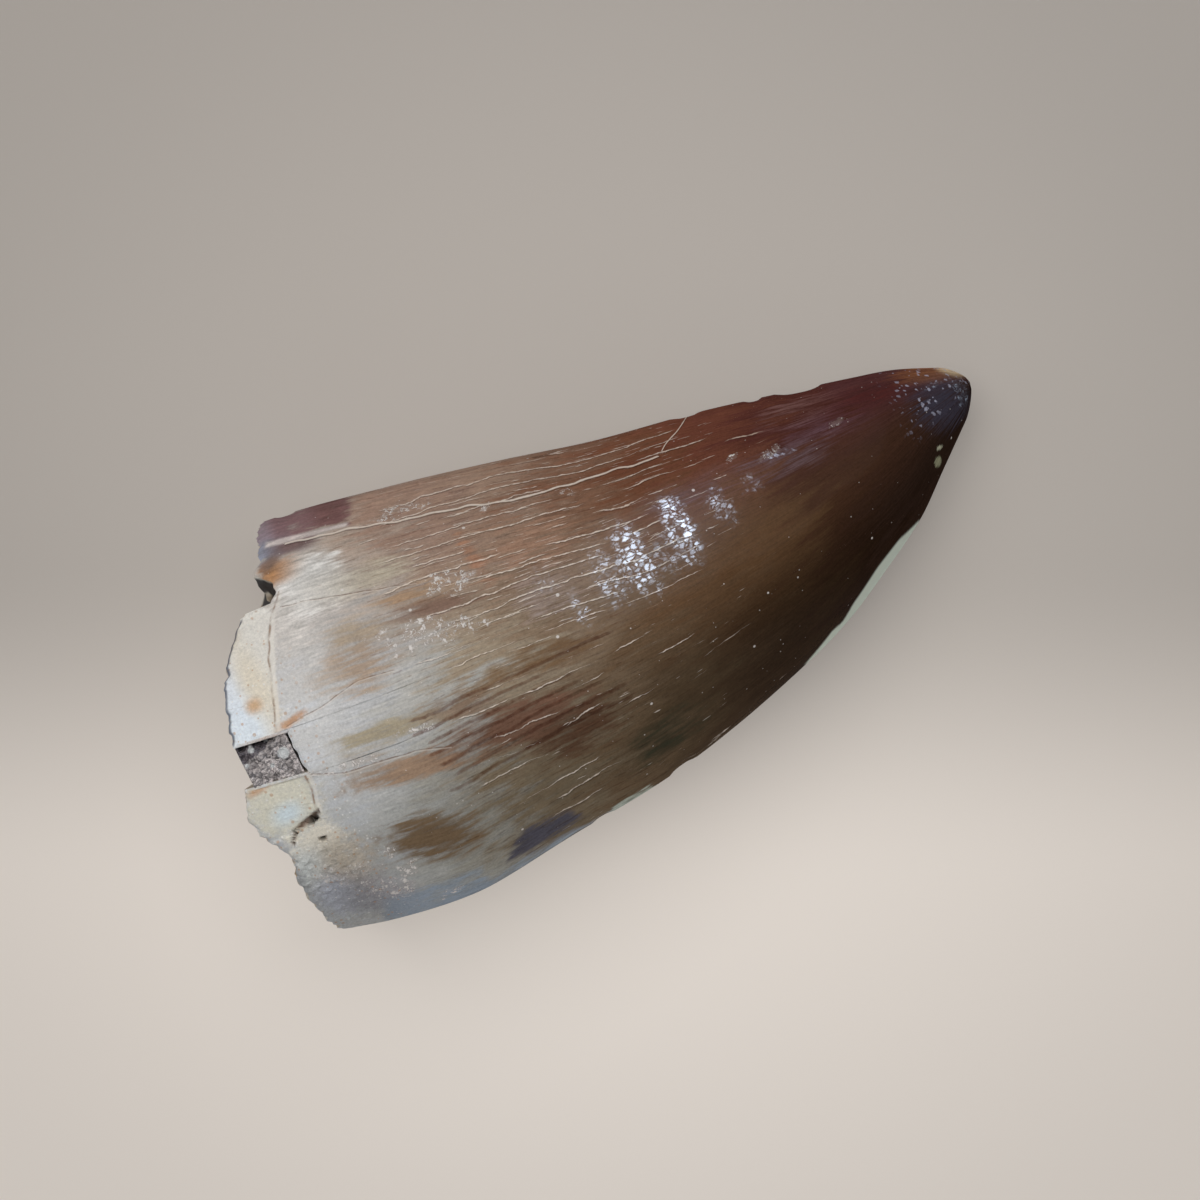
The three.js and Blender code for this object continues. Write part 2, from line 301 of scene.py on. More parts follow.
def paired(*corners):
    """The corners' two coordinates side by side, one row of them for each face."""
    return np.stack([np.stack(np.broadcast_arrays(*corner), -1) for corner in corners], -2)


def closed_mesh(name, start, grid, end, materials, slots):
    """A closed skin over a grid: a fan from the start point, quads between the rings, a fan to the end point.

    Its points hold station, y and height in millimetres, and slots gives each row of faces its material.
    The UV map runs along the tooth and round it.
    """
    rows, columns = grid.shape[:2]
    points = (np.concatenate([[start], grid.reshape(-1, 3), [end]]) + TO_MIDDLE) * MM
    column = np.arange(columns)
    after = (column + 1) % columns
    ring = np.arange(rows - 1)[:, None] * columns + 1
    quads = np.stack([ring + column, ring + columns + column, ring + columns + after, ring + after], -1)
    first = np.stack([0 * column, 1 + column, 1 + after], -1)
    base = 1 + (rows - 1) * columns
    last = np.stack([0 * column + len(points) - 1, base + after, base + column], -1)
    corners = np.concatenate([first.ravel(), quads.ravel(), last.ravel()])
    totals = np.concatenate([np.full(columns, 3), np.full((rows - 1) * columns, 4), np.full(columns, 3)])
    starts = np.concatenate([[0], np.cumsum(totals)[:-1]])
    mesh = bpy.data.meshes.new(name)
    mesh.vertices.add(len(points))
    mesh.vertices.foreach_set("co", points.astype(np.float32).ravel())
    mesh.loops.add(len(corners))
    mesh.loops.foreach_set("vertex_index", corners.astype(np.int32))
    mesh.polygons.add(len(totals))
    mesh.polygons.foreach_set("loop_start", starts.astype(np.int32))
    mesh.polygons.foreach_set("loop_total", totals.astype(np.int32))
    row_slots = np.repeat(slots, columns)[columns:]
    face_slots = np.concatenate([np.full(columns, slots[0]), row_slots, np.full(columns, slots[-1])])
    mesh.polygons.foreach_set("material_index", face_slots.astype(np.int32))
    mesh.update(calc_edges=True)
    level = np.arange(rows + 2) / (rows + 1)
    left, right = column / columns, (column + 1) / columns
    middle = (left + right) / 2
    head = paired((0, middle), (level[1], left), (level[1], right))
    above, below = level[1:-2, None], level[2:-1, None]
    body = paired((above, left), (below, left), (below, right), (above, right))
    tail = paired((1, middle), (level[-2], right), (level[-2], left))
    uv = np.concatenate([head.ravel(), body.ravel(), tail.ravel()])
    mesh.uv_layers.new(name="OFBake").data.foreach_set("uv", uv.astype(np.float32))
    mesh.shade_smooth()
    mesh.set_sharp_from_angle(angle=math.radians(SHARP_ANGLE))
    for material in materials:
        mesh.materials.append(material)
    return mesh


def store(mesh, name, start, grid, end):
    """Keeps one number per vertex as a named attribute, in the order of the mesh's points."""
    values = np.concatenate([[start], grid.ravel(), [end]]).astype(np.float32)
    mesh.attributes.new(name, "FLOAT", "POINT").data.foreach_set("value", values)


def store_crown(mesh, marks, rest, blank=0):
    """Keeps several marks of the crown by name, with a blank value at the tip and on the root's points."""
    for name, values in marks.items():
        store(mesh, name, blank, np.concatenate([values, np.full(rest, float(blank))]), blank)


def store_colour(mesh, name, colour):
    """Keeps the crown's colours as a named attribute. The tip and the root's points stay black."""
    opaque = np.zeros((len(mesh.vertices), 4))
    opaque[1:1 + colour[..., 0].size, :3] = colour.reshape(-1, 3)
    opaque[:, 3] = 1
    layer = mesh.attributes.new(name, "FLOAT_COLOR", "POINT")
    layer.data.foreach_set("color", opaque.astype(np.float32).ravel())


def place(name, mesh, slot, *nodes):
    """Puts a finished mesh in the scene, riding the tooth's only body in place of its CAD nodes."""
    piece = bpy.data.objects.new(name, mesh)
    bpy.context.scene.collection.objects.link(piece)
    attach(piece, "root")
    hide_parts(*nodes)
    return piece


def tone(red, green, blue):
    """A scene-linear colour from three display values of 0 to 255."""
    display = np.array([red, green, blue]) / 255
    linear = np.where(display <= 0.04045, display / 12.92, ((display + 0.055) / 1.055) ** 2.4)
    return tuple(float(v) for v in linear)


class Graph:
    """Short ways to add shader nodes to one tree and to join them."""

    def __init__(self, tree):
        self.tree = tree
        self.made = {}

    def add(self, kind, **settings):
        node = self.tree.nodes.new("ShaderNode" + kind)
        for name, value in settings.items():
            setattr(node, name, value)
        return node

    def feed(self, socket, value):
        """Joins a socket to an output, or sets it to a plain value."""
        if isinstance(value, bpy.types.NodeSocket):
            self.tree.links.new(value, socket)
        elif socket.type == "VECTOR":
            socket.default_value = value
        elif socket.type == "RGBA":
            socket.default_value = (*value[:3], 1)
        else:
            socket.default_value = value

    def maths(self, operation, *values, clamp=False):
        node = self.add("Math", operation=operation, use_clamp=clamp)
        for socket, value in zip(node.inputs, values):
            self.feed(socket, value)
        return node.outputs[0]

    def times(self, *values, clamp=False):
        return self.maths("MULTIPLY", *values, clamp=clamp)

    def plus(self, *values):
        return self.maths("ADD", *values)

    def minus(self, *values):
        return self.maths("SUBTRACT", *values)

    def most(self, *values):
        return self.maths("MAXIMUM", *values)

    def times_plus(self, *values, clamp=False):
        return self.maths("MULTIPLY_ADD", *values, clamp=clamp)

    def mask(self, value, low, high, least=0.0, most=1.0):
        """An S curve from least at low to most at high."""
        node = self.add("MapRange", interpolation_type="SMOOTHSTEP")
        for socket, number in zip(node.inputs, (value, low, high, least, most)):
            self.feed(socket, number)
        return node.outputs[0]

    def mix(self, share, first, second, blend="MIX"):
        node = self.add("Mix", data_type="RGBA", blend_type=blend)
        self.feed(node.inputs[0], share)
        self.feed(node.inputs[6], first)
        self.feed(node.inputs[7], second)
        return node.outputs[2]

    def tint(self, colour, share, over, strength=1.0):
        """Lays one colour over another by a share, weakened by a strength."""
        return self.mix(share if strength == 1 else self.times(share, strength), colour, over)

    def centred(self, value, gain):
        """A noise of 0 to 1 turned into a shift round 0."""
        return self.times(self.minus(value, 0.5), gain)

    def parts(self, colour):
        """The red, green and blue of a colour, as three numbers."""
        node = self.add("SeparateColor")
        self.feed(node.inputs[0], colour)
        return node.outputs

    def ramp(self, value, stops):
        """A colour ramp over (position, colour) stops."""
        node = self.add("ValToRGB")
        node.color_ramp.interpolation = "EASE"
        elements = node.color_ramp.elements
        while len(elements) < len(stops):
            elements.new(0.5)
        for element, (position, colour) in zip(elements, stops):
            element.position = position
            element.color = (*colour, 1)
        self.feed(node.inputs[0], value)
        return node.outputs[0]

    def attribute(self, name, output="Fac"):
        """A value that the mesh carries by this name, read by one node."""
        if name not in self.made:
            self.made[name] = self.add("Attribute", attribute_name=name)
        return self.made[name].outputs[output]

    def vector(self, x, y, z=0.0):
        node = self.add("CombineXYZ")
        for socket, value in zip(node.inputs, (x, y, z)):
            self.feed(socket, value)
        return node.outputs[0]

    def place(self, stretch=(1, 1, 1)):
        """The piece's own coordinates in millimetres, squeezed along each axis, from one node a squeeze."""
        if stretch not in self.made:
            self.made[stretch] = self.add("Mapping")
            self.feed(self.made[stretch].inputs["Vector"], self.add("TexCoord").outputs["Object"])
            self.made[stretch].inputs["Scale"].default_value = [1 / MM * s for s in stretch]
        return self.made[stretch].outputs[0]

    def noise(self, vector, scale, detail=2.0, roughness=0.5):
        node = self.add("TexNoise")
        self.feed(node.inputs["Vector"], vector)
        for name, value in (("Scale", scale), ("Detail", detail), ("Roughness", roughness)):
            node.inputs[name].default_value = value
        return node.outputs["Fac"]

    def bent(self, vector, scale, reach):
        """Places shifted by a noise of their own, so that cells drawn from them have uneven outlines."""
        shift = self.add("TexNoise")
        self.feed(shift.inputs["Vector"], vector)
        shift.inputs["Scale"].default_value = scale
        node = self.add("VectorMath", operation="MULTIPLY_ADD")
        for socket, value in zip(node.inputs, (shift.outputs["Color"], (reach, reach, reach), vector)):
            self.feed(socket, value)
        return node.outputs[0]

    def cells(self, vector, scale, feature="F1", output="Distance"):
        node = self.add("TexVoronoi", feature=feature)
        self.feed(node.inputs["Vector"], vector)
        node.inputs["Scale"].default_value = scale
        return node.outputs[output]

    def group(self, tree, **values):
        """Places a node group with its own values and returns its outputs by name."""
        node = self.add("Group", node_tree=tree)
        for name, value in values.items():
            self.feed(node.inputs[name.replace("_", " ").capitalize()], value)
        return node.outputs


def new_group(name, inputs, outputs, vector=None):
    """A shader node group with named number inputs and outputs, and the graph to fill it with."""
    tree = bpy.data.node_groups.new(name, "ShaderNodeTree")
    if vector:
        tree.interface.new_socket(vector, in_out="INPUT", socket_type="NodeSocketVector")
    for label, default in inputs.items():
        socket = tree.interface.new_socket(label, in_out="INPUT", socket_type="NodeSocketFloat")
        socket.default_value = default
    for label in outputs:
        tree.interface.new_socket(label, in_out="OUTPUT", socket_type="NodeSocketFloat")
    given = tree.nodes.new("NodeGroupInput").outputs
    return tree, Graph(tree), given, tree.nodes.new("NodeGroupOutput").inputs


def hairline_group():
    """Fine cracks that follow the growth of the crown, each drawn for a stretch and then gone for a while.

    The distance round the crown, counted in lines, is bent by a slow drift and by each line's own shake.
    """
    inputs = {"Station": 0, "Round": 0, "Half width": 10, "Lines": 14, "Width": 0.06}
    inputs.update({"Cover": 0.5, "Reach": 0.3, "Seed": 0, "Beading": 1.2})
    tree, g, given, out = new_group("hairline_cracks", inputs, ["Mask", "Shade"])
    slow = g.vector(g.times(given["Station"], 0.035), given["Round"], given["Seed"])
    drift = g.times(g.noise(slow, 1.6, 2), 3.0)
    phase = g.plus(g.times(given["Round"], given["Lines"]), drift)
    line = g.maths("FLOOR", phase)
    own = g.times(line, 7.31)
    shake = g.noise(g.vector(given["Station"], own, given["Seed"]), 0.6, 4, 0.6)
    lean = g.times(g.minus(shake, 0.5), 0.55)
    away = g.plus(g.minus(g.maths("FRACT", phase), 0.5), lean)
    away = g.maths("DIVIDE", g.times(away, given["Half width"]), given["Lines"])
    stretch = g.noise(g.vector(g.times(given["Station"], given["Reach"]), own, given["Seed"]), 1, 2)
    drawn = g.mask(stretch, g.minus(0.86, given["Cover"]), g.minus(0.96, given["Cover"]))
    beads = g.noise(g.vector(given["Station"], own, given["Seed"]), 2.6, 2)
    thinnest = g.times_plus(given["Beading"], -0.5, 0.85)
    width = g.times(given["Width"], g.times_plus(beads, given["Beading"], thinnest))
    width = g.times(width, drawn)
    near = g.mask(g.maths("ABSOLUTE", away), width, g.times(width, 0.3))
    bright = g.mask(beads, 0.3, 0.62, g.times_plus(given["Beading"], -0.5, 1), 1.0)
    g.feed(out["Mask"], g.times(g.times(near, drawn), bright))
    # Shade: a painted shadow along the lip just below each crack.
    lip = g.maths("ABSOLUTE", g.minus(away, g.times(width, 1.5)))
    g.feed(out["Shade"], g.times(g.mask(lip, width, g.times(width, 0.3)), drawn))
    return tree


def streak_group():
    """Streaks drawn out along the growth of the crown, in four sizes."""
    sizes = {"Wide": (0.1, 2.2, 3), "Middle": (0.22, 11, 3), "Fine": (0.5, 48, 2), "Hair": (0.9, 105, 2)}
    tree, g, given, out = new_group("growth_streaks", {"Station": 0, "Round": 0, "Seed": 0}, list(sizes))
    for label, (along_scale, round_scale, detail) in sizes.items():
        drawn_out = g.times(given["Station"], along_scale)
        vector = g.vector(drawn_out, g.times(given["Round"], round_scale), given["Seed"])
        g.feed(out[label], g.noise(vector, 1, detail))
    return tree


def speck_group():
    """Scattered specks: the centres of random cells, kept where each cell's own number is high."""
    inputs = {"Scale": 1, "Size": 0.2, "Share": 0.3}
    tree, g, given, out = new_group("scattered_specks", inputs, ["Mask"], "Place")
    cell = g.add("TexVoronoi")
    g.feed(cell.inputs["Vector"], given["Place"])
    g.feed(cell.inputs["Scale"], given["Scale"])
    pick = g.parts(cell.outputs["Color"])
    size = g.times(given["Size"], g.plus(0.4, pick[1]))
    near = g.mask(cell.outputs["Distance"], size, g.times(size, 0.6))
    kept = g.maths("LESS_THAN", pick[0], given["Share"])
    g.feed(out["Mask"], g.times(near, kept))
    return tree


def new_material(name):
    """A material of one principled shader, its graph, and the shader's sockets."""
    material = bpy.data.materials.new(name)
    material.use_nodes = True
    material.node_tree.nodes.clear()
    g = Graph(material.node_tree)
    shader = g.add("BsdfPrincipled")
    g.feed(g.add("OutputMaterial").inputs[0], shader.outputs[0])
    return material, g, shader.inputs


def bump(g, shader, height):
    """Feeds the shader's normal from a height in millimetres."""
    node = g.add("Bump")
    node.inputs["Distance"].default_value = MM
    node.inputs["Strength"].default_value = 1
    g.feed(node.inputs["Height"], height)
    g.feed(shader["Normal"], node.outputs[0])


# Display tones of the crown from base to tip, as (share of its length, colour)
UPPER_TONES = [
    (0.14, (204, 196, 188)), (0.236, (192, 174, 160)), (0.327, (166, 138, 122)), (0.418, (164, 138, 120)),
    (0.51, (136, 103, 84)), (0.6, (118, 77, 58)), (0.69, (112, 68, 54)), (0.78, (88, 50, 44)),
    (0.87, (84, 50, 50)), (0.97, (88, 58, 55)),
]
MIDDLE_TONES = [
    (0.03, (224, 226, 230)), (0.12, (216, 215, 214)), (0.18, (204, 204, 205)), (0.25, (192, 190, 185)),
    (0.33, (167, 152, 132)), (0.42, (138, 118, 98)), (0.51, (118, 95, 74)), (0.6, (108, 82, 60)),
    (0.69, (98, 72, 50)), (0.79, (74, 50, 36)), (0.88, (66, 44, 33)),
]
LOWER_TONES = [
    (0.03, (186, 188, 190)), (0.145, (176, 176, 172)), (0.236, (154, 151, 142)), (0.327, (124, 110, 90)),
    (0.418, (104, 86, 66)), (0.51, (84, 68, 50)), (0.6, (68, 52, 37)), (0.69, (55, 40, 27)),
    (0.78, (46, 31, 22)), (0.9, (48, 34, 27)),
]

# Stains and painted sheens: station, y, half length, half width, tilt in degrees, softness of the edge,
# strength, display tone
STAINS_AND_SHEENS = [
    (2.6, 2.6, 1.5, 1.6, 10, 0.6, 0.9, (236, 246, 255)),
    (2.6, 5.6, 1.1, 2.4, -5, 0.7, 0.8, (234, 242, 252)),
    (4.4, 4.6, 0.9, 2.6, 5, 0.8, 0.7, (234, 222, 200)),
    (3.75, 3.45, 0.5, 0.42, 0, 0.8, 0.9, (216, 176, 134)),
    (3.9, 7.9, 1.0, 0.5, 30, 0.8, 0.6, (214, 200, 176)),
    (5.6, 1.5, 1.0, 0.28, 8, 0.8, 0.85, (204, 160, 128)),
    (2.4, -3.0, 2.4, 2.1, -10, 0.6, 0.9, (222, 218, 202)),
    (2.5, -3.7, 0.9, 0.6, 0, 0.8, 0.85, (216, 230, 238)),
    (1.6, -1.5, 0.75, 0.22, 6, 0.8, 0.8, (206, 166, 134)),
    (3.3, -6.2, 1.6, 1.2, 0, 0.8, 0.9, (236, 230, 216)),
    (2.4, -7.6, 0.9, 1.1, 0, 0.8, 0.95, (230, 238, 240)),
    (4.2, -8.2, 1.9, 1.7, -30, 0.9, 0.8, (206, 194, 178)),
    # Painted highlights: the pale bluish oval on the rough lobe at the lower corner of the base.
    (2.9, -9.9, 1.0, 1.3, 30, 0.8, 0.95, (208, 212, 224)),
    (4.6, -11.2, 2.4, 1.0, -30, 0.9, 0.7, (148, 148, 152)),
    (8.9, 12.2, 1.0, 0.9, 0, 0.8, 0.9, (150, 156, 172)),
    (10.4, 8.6, 2.2, 1.6, -8, 0.8, 0.95, (238, 236, 234)),
    (7.7, 6.7, 1.1, 1.4, 0, 0.9, 0.6, (228, 222, 216)),
    (10.6, 11.7, 1.6, 0.55, -12, 0.8, 1.0, (124, 102, 100)),
    (9.1, 10.5, 1.4, 0.7, -8, 0.6, 1.0, (188, 140, 98)),
    (8.6, 11.2, 0.7, 0.35, 20, 0.8, 0.9, (134, 112, 100)),
    (11.0, 9.7, 1.5, 1.0, -10, 0.9, 0.8, (230, 228, 224)),
    (8.5, 2.8, 1.3, 1.2, 0, 0.9, 0.5, (192, 178, 164)),
    (8.2, -3.2, 1.8, 1.0, -10, 0.9, 0.5, (168, 158, 148)),
    (10.2, -9.2, 2.9, 1.35, -18, 0.9, 0.95, (118, 98, 76)),
    (11.2, -4.8, 4.0, 0.7, -10, 0.9, 0.9, (162, 136, 114)),
    (18.2, -5.2, 4.0, 1.25, -8, 0.9, 0.95, (120, 90, 74)),
    (21.8, -7.4, 3.0, 1.3, 0, 0.9, 0.8, (90, 66, 50)),
    (10.6, -1.9, 3.2, 0.7, -12, 0.9, 0.85, (172, 160, 138)),
    (15.6, -2.5, 2.4, 0.7, -14, 0.9, 0.6, (138, 118, 102)),
    (19.5, -1.8, 3.8, 0.9, -6, 0.9, 0.6, (132, 108, 84)),
    (22.8, -2.1, 2.6, 0.9, -8, 0.9, 0.5, (110, 86, 64)),
    (13.6, 3.1, 3.0, 1.3, -12, 0.9, 0.45, (162, 146, 132)),
    (11.0, 2.6, 1.6, 1.8, -8, 0.9, 0.7, (176, 156, 138)),
    (23.6, 1.3, 2.2, 1.5, -6, 0.9, 0.5, (158, 144, 138)),
    (33.2, 3.4, 1.6, 0.7, -8, 0.9, 0.5, (112, 88, 84)),
    (11.6, 4.8, 1.9, 0.8, -12, 0.9, 0.6, (180, 164, 144)),
    (13.6, 7.6, 3.6, 1.0, -10, 0.9, 0.6, (190, 180, 162)),
    (16.4, 5.1, 2.6, 0.6, -16, 0.9, 0.8, (174, 146, 120)),
    (17.4, 3.9, 2.8, 0.5, -12, 0.9, 0.8, (134, 108, 94)),
    (20.6, 5.6, 0.4, 1.9, 10, 0.8, 0.75, (170, 128, 104)),
    (24.0, 5.0, 2.8, 1.6, -6, 0.9, 0.6, (160, 128, 108)),
    (26.5, 1.6, 3.0, 1.2, -8, 0.9, 0.4, (134, 110, 88)),
    (5.5, -10.8, 2.2, 1.2, -30, 0.9, 0.6, (164, 162, 168)),
    (26.5, -10.4, 3.0, 1.1, 8, 0.9, 0.65, (58, 56, 42)),
    # Painted sheen: this purple-grey oval and the next, with the one at station 42 below.
    (37.5, 2.6, 3.4, 1.0, -8, 0.9, 0.4, (104, 80, 80)),
    (44.5, 3.0, 2.6, 0.8, -8, 0.9, 0.5, (94, 66, 72)),
    (43.5, 4.8, 2.5, 0.8, -8, 0.9, 0.5, (116, 84, 80)),
    # Painted sheen: a purple-grey oval.
    (42.0, 2.0, 2.4, 0.8, -8, 0.9, 0.5, (96, 76, 78)),
    (25.5, 7.4, 3.5, 1.0, -8, 0.9, 0.5, (136, 98, 78)),
    (49.0, 3.3, 3.2, 0.8, -10, 0.9, 0.6, (84, 42, 40)),
    (52.9, 2.9, 1.9, 0.5, -20, 0.9, 0.85, (140, 92, 62)),
    (54.2, 2.5, 0.8, 0.3, -42, 0.8, 0.95, (232, 208, 170)),
    # Painted sheen: the bluish grey oval on the tip.
    (52.5, 0.8, 1.9, 1.6, -10, 0.9, 0.8, (62, 58, 70)),
    (50.6, -2.5, 0.34, 0.24, 60, 0.4, 0.85, (144, 144, 118)),
    (51.1, -1.7, 0.2, 0.14, 0, 0.4, 0.85, (176, 176, 152)),
]

# Stains and painted reflections with straight sides: corners as (station, y) anticlockwise, softness in
# millimetres, strength, tone.
# The first lies below the ovals, the others on top of them.
PATCHES_BELOW = [
    ([(1.0, 0.9), (4.4, 1.0), (7.5, 8.2), (6.4, 9.9), (4, 9.2), (0.8, 4.2)], 0.12, 1.0, (236, 232, 224)),
]
PATCHES = [
    ([(7.8, 12.9), (10.6, 12.3), (10.8, 14.8), (7.8, 14.8)], 0.4, 0.9, (150, 134, 142)),
    ([(9.6, 12.5), (14.2, 11.4), (15.1, 12.6), (15.2, 14.5), (9.6, 14.8)], 0.6, 0.85, (134, 104, 106)),
    ([(12.4, 11.9), (14.2, 11.3), (14.9, 12.6), (15.1, 14.5), (12.6, 14.8)], 0.8, 0.6, (116, 82, 76)),
    ([(8.8, 12.3), (14.2, 11.15), (14.3, 11.4), (9.0, 12.6)], 0.1, 0.8, (214, 204, 200)),
    # Painted reflection: the bluish band along the lower cutting edge, in this patch and the next three.
    ([(8.4, -14.6), (26, -13.6), (26, -12.8), (17, -13.2), (8.4, -13.2)], 0.2, 0.7, (146, 156, 168)),
    ([(13.4, -13.1), (19.6, -12.8), (18.6, -11.8), (15.4, -11.6)], 0.5, 0.85, (84, 82, 92)),
    ([(4, -14), (12, -14.6), (12, -12.6), (5.4, -11.6)], 0.5, 0.7, (144, 156, 170)),
    ([(20.5, -13.8), (24.6, -13.5), (24.1, -12.8), (21.2, -13)], 0.12, 0.8, (186, 196, 186)),
]

# Gloss: glints of polished enamel, as station, y, half length, half width, tilt, softness and strength
POLISHED = [
    (24.0, 2.2, 1.3, 1.0, 0, 0.8, 0.3),
    (25.2, -0.4, 0.36, 1.3, 0, 0.5, 0.8),
    (27.9, 0.5, 0.95, 2.1, 0, 0.6, 0.62),
    (29.9, 0.8, 1.0, 2.4, 0, 0.55, 1.0),
    (33.3, 1.1, 0.9, 2.2, 0, 0.55, 1.0),
    (31.7, 0.3, 0.9, 1.7, 0, 0.7, 0.45),
    (36.4, 1.4, 0.7, 1.3, 10, 0.7, 0.6),
    (38.8, 1.8, 0.6, 0.9, 20, 0.7, 0.4),
    (41.4, 2.7, 1.1, 0.3, -8, 0.6, 0.5),
    (52.8, 1.2, 1.5, 1.2, 0, 0.8, 0.6),
]
PLAIN_GLOSS = 0.3
DULL_PATCH = (39, 0.6, 21, 7.5, -2, 0.2)  # a part of the crown that is only glossy where it is polished
DULL_LOSS = 0.297  # gloss that is missing there
VEIL = (31, 0.9, 6, 2.4, 3, 0.7)  # a faint sheen around the glints
VEIL_STRENGTH = 0.02
COAT_ROUGHNESS = 0.09
COAT_IOR = 2.0
PEBBLE_SCALE = 3.4
PEBBLE_STRETCH = (0.62, 1, 1)

# Sediment: the corners and the softness of a shaded patch, then pale stones as station, y and radius
SHADED_SEDIMENT = ([(0.9, 0.2), (3.2, 0.7), (4.3, 1.5), (1.4, 1.9)], 0.25)
CLASTS = [(4.1, -0.1, 0.4), (2.3, 1.0, 0.22), (3.1, -0.5, 0.16), (1.6, 0.2, 0.15), (3.4, 1.2, 0.18)]

# Layers of pale hairlines: lines per half width, share of the full width, cover, breaks, strength, seed
HAIRLINES = [(13, 1.0, 0.46, 0.18, 1.0, 3), (17, 0.8, 0.36, 0.5, 0.8, 11), (33, 0.55, 0.36, 0.7, 0.45, 17)]

# Pale crusts left by the sediment: station, y, half length, half width, tilt in degrees
CRUSTS = [
    (17.8, 10.5, 1.7, 0.4, -8), (22.6, 8.2, 0.4, 0.22, 0), (18.4, 5.0, 1.5, 0.75, -18),
    (15.9, 2.5, 3.3, 1.0, -14), (4.3, -9.0, 1.0, 0.4, 10), (6.2, -11.0, 1.8, 0.6, -25),
    (7.0, -9.0, 0.5, 0.4, 0), (3.2, -8.6, 1.0, 0.6, -40), (7.8, -10.4, 0.7, 0.5, 0),
    (9.5, -13.1, 0.8, 0.2, -10), (7.8, -2.8, 2.6, 0.26, -11),
    (40.9, 3.0, 0.75, 0.3, 10), (45.6, 2.8, 0.7, 0.22, 0), (38.6, 3.8, 0.5, 0.2, 10),
    (12.5, -2.6, 1.6, 0.25, -12), (5.4, -2.2, 1.0, 0.3, -12), (28, 6.6, 0.5, 0.3, 0),
]

# Long cracks as (station, y) points seen from above, their width in millimetres and whether they are pale
LONG_CRACKS = {
    "crack_band": ([
        (9.9, 12), (12.3, 11.4), (14.8, 10.8), (17.1, 10), (18.7, 9.6), (21.7, 8.8),
        (24.5, 7.8), (26, 7.5), (28.6, 7), (30.8, 6.7), (32.6, 6.3), (34.5, 6.1),
    ], 0.1, True),
    "crack_side": ([(34.3, 6.1), (35, 6.6), (36, 7), (36.9, 7.4), (37.4, 7.7)], 0.06, True),
    "crack_root": ([(8, 8.4), (9.7, 8), (12.2, 7.2), (16.7, 5.8)], 0.06, False),
    "crack_middle": ([(5, 1.3), (8.1, 1.5), (10.4, 1.9), (13, 1.4)], 0.07, False),
    "crack_crusty": ([(4.8, -2), (7, -3), (11.7, -3.8), (14, -4.6)], 0.08, False),
}
FAR = 9.0  # a distance, in millimetres, that no crack is drawn at
OVAL_POWER = 2.4  # makes an oval a little squarer than an ellipse

# Display tones of small marks. Those for the lips below the cracks, the edge and foot of each settled piece's
# step, the rim's dark strip, the pits, the root behind the pocket, the gaps between grains, the shaded sand
# and the sparkles at the tip are painted shade and painted highlights.
MARK_TONES = {
    "band": (158, 106, 84), "dash": (150, 108, 92), "lip": (44, 28, 22), "tip crack": (188, 160, 140),
    "crust bed": (196, 184, 178), "rust speck": (196, 156, 120), "chalk speck": (246, 244, 240),
    "spark": (186, 188, 210), "piece ridge": (240, 234, 226), "piece shadow": (150, 116, 92),
    "rim shade": (62, 68, 88), "slit": (116, 84, 66), "hole": (24, 18, 16),
    "tan root": (176, 156, 130), "root pocket shade": (42, 40, 46),
    "grain gap": (52, 48, 50), "shaded sand": (70, 60, 68), "pale stone": (228, 230, 230),
}
MARKS = {name: tone(*shown) for name, shown in MARK_TONES.items()}


def blob(station, y, place):
    """1 inside an oval that is turned by its tilt, 0 outside, as an S curve of the oval's own radius."""
    at, height, half_length, half_width, tilt, softness = place
    c, s = math.cos(math.radians(tilt)), math.sin(math.radians(tilt))
    lengthways = (station - at) * c + (y - height) * s
    sideways = (y - height) * c - (station - at) * s
    powers = np.abs(lengthways / half_length) ** OVAL_POWER + np.abs(sideways / half_width) ** OVAL_POWER
    return 1 - soft_step(powers ** (1 / OVAL_POWER), 1 - softness, 1 + softness)


def patch(station, y, corners, softness):
    """1 inside a convex patch, 0 outside: an S curve of the least distance to its sides, in millimetres."""
    inside = np.full(np.broadcast(station, y).shape, FAR)
    for (x0, y0), (x1, y1) in zip(corners, corners[1:] + corners[:1]):
        length = math.hypot(x1 - x0, y1 - y0)
        inside = np.minimum(inside, ((y - y0) * (x1 - x0) - (station - x0) * (y1 - y0)) / length)
    return soft_step(inside, -softness, softness)


def length_field(name, description, millimetres):
    """A length in metres, from its default in millimetres."""
    default = millimetres * MM
    return FloatProperty(name=name, description=description, default=default, unit="LENGTH", precision=6)


def colour_field(name, description, *shown):
    """A colour, from its default as display values of 0 to 255."""
    return FloatVectorProperty(name=name, description=description, default=tone(*shown), subtype="COLOR")


def light_field(name, description, default):
    """A light's radiance, which can't be negative."""
    return FloatProperty(name=name, description=description, default=default, min=0)


def count_field(name, description, default):
    """A number of mesh columns or rows, at least 40."""
    return IntProperty(name=name, description=description, default=default, min=40)


class FossilToothSizes(bpy.types.PropertyGroup):
    columns: count_field("Columns", "Mesh columns over the upward face", 262)
    rows: count_field("Rows", "Mesh rows from the broken rim to the tip", 208)
    enamel_grain: length_field("Enamel grain", "Height of the fine wrinkles in the enamel", 0.014)
    hairline_width: length_field("Hairline width", "Width of the fine cracks", 0.058)
    sediment_grain: length_field("Sediment grain", "Size of the grains in the root", 0.42)
    break_roughness: length_field("Break roughness", "Height of the rough fracture face", 0.12)


class FossilToothColours(bpy.types.PropertyGroup):
    crack: colour_field("Pale cracks", "Colour in the fine cracks", 240, 228, 216)
    dark_crack: colour_field("Brown cracks", "Colour of the stained cracks", 112, 82, 62)
    crust: colour_field("Crust", "Colour of the pale crusts", 232, 226, 222)
    dentine: colour_field("Dentine", "Colour where enamel flaked off", 232, 244, 232)
    root: colour_field("Broken root", "Colour of the fracture face", 204, 200, 192)
    sediment: colour_field("Sediment", "Colour of the sandy fill", 206, 197, 195)


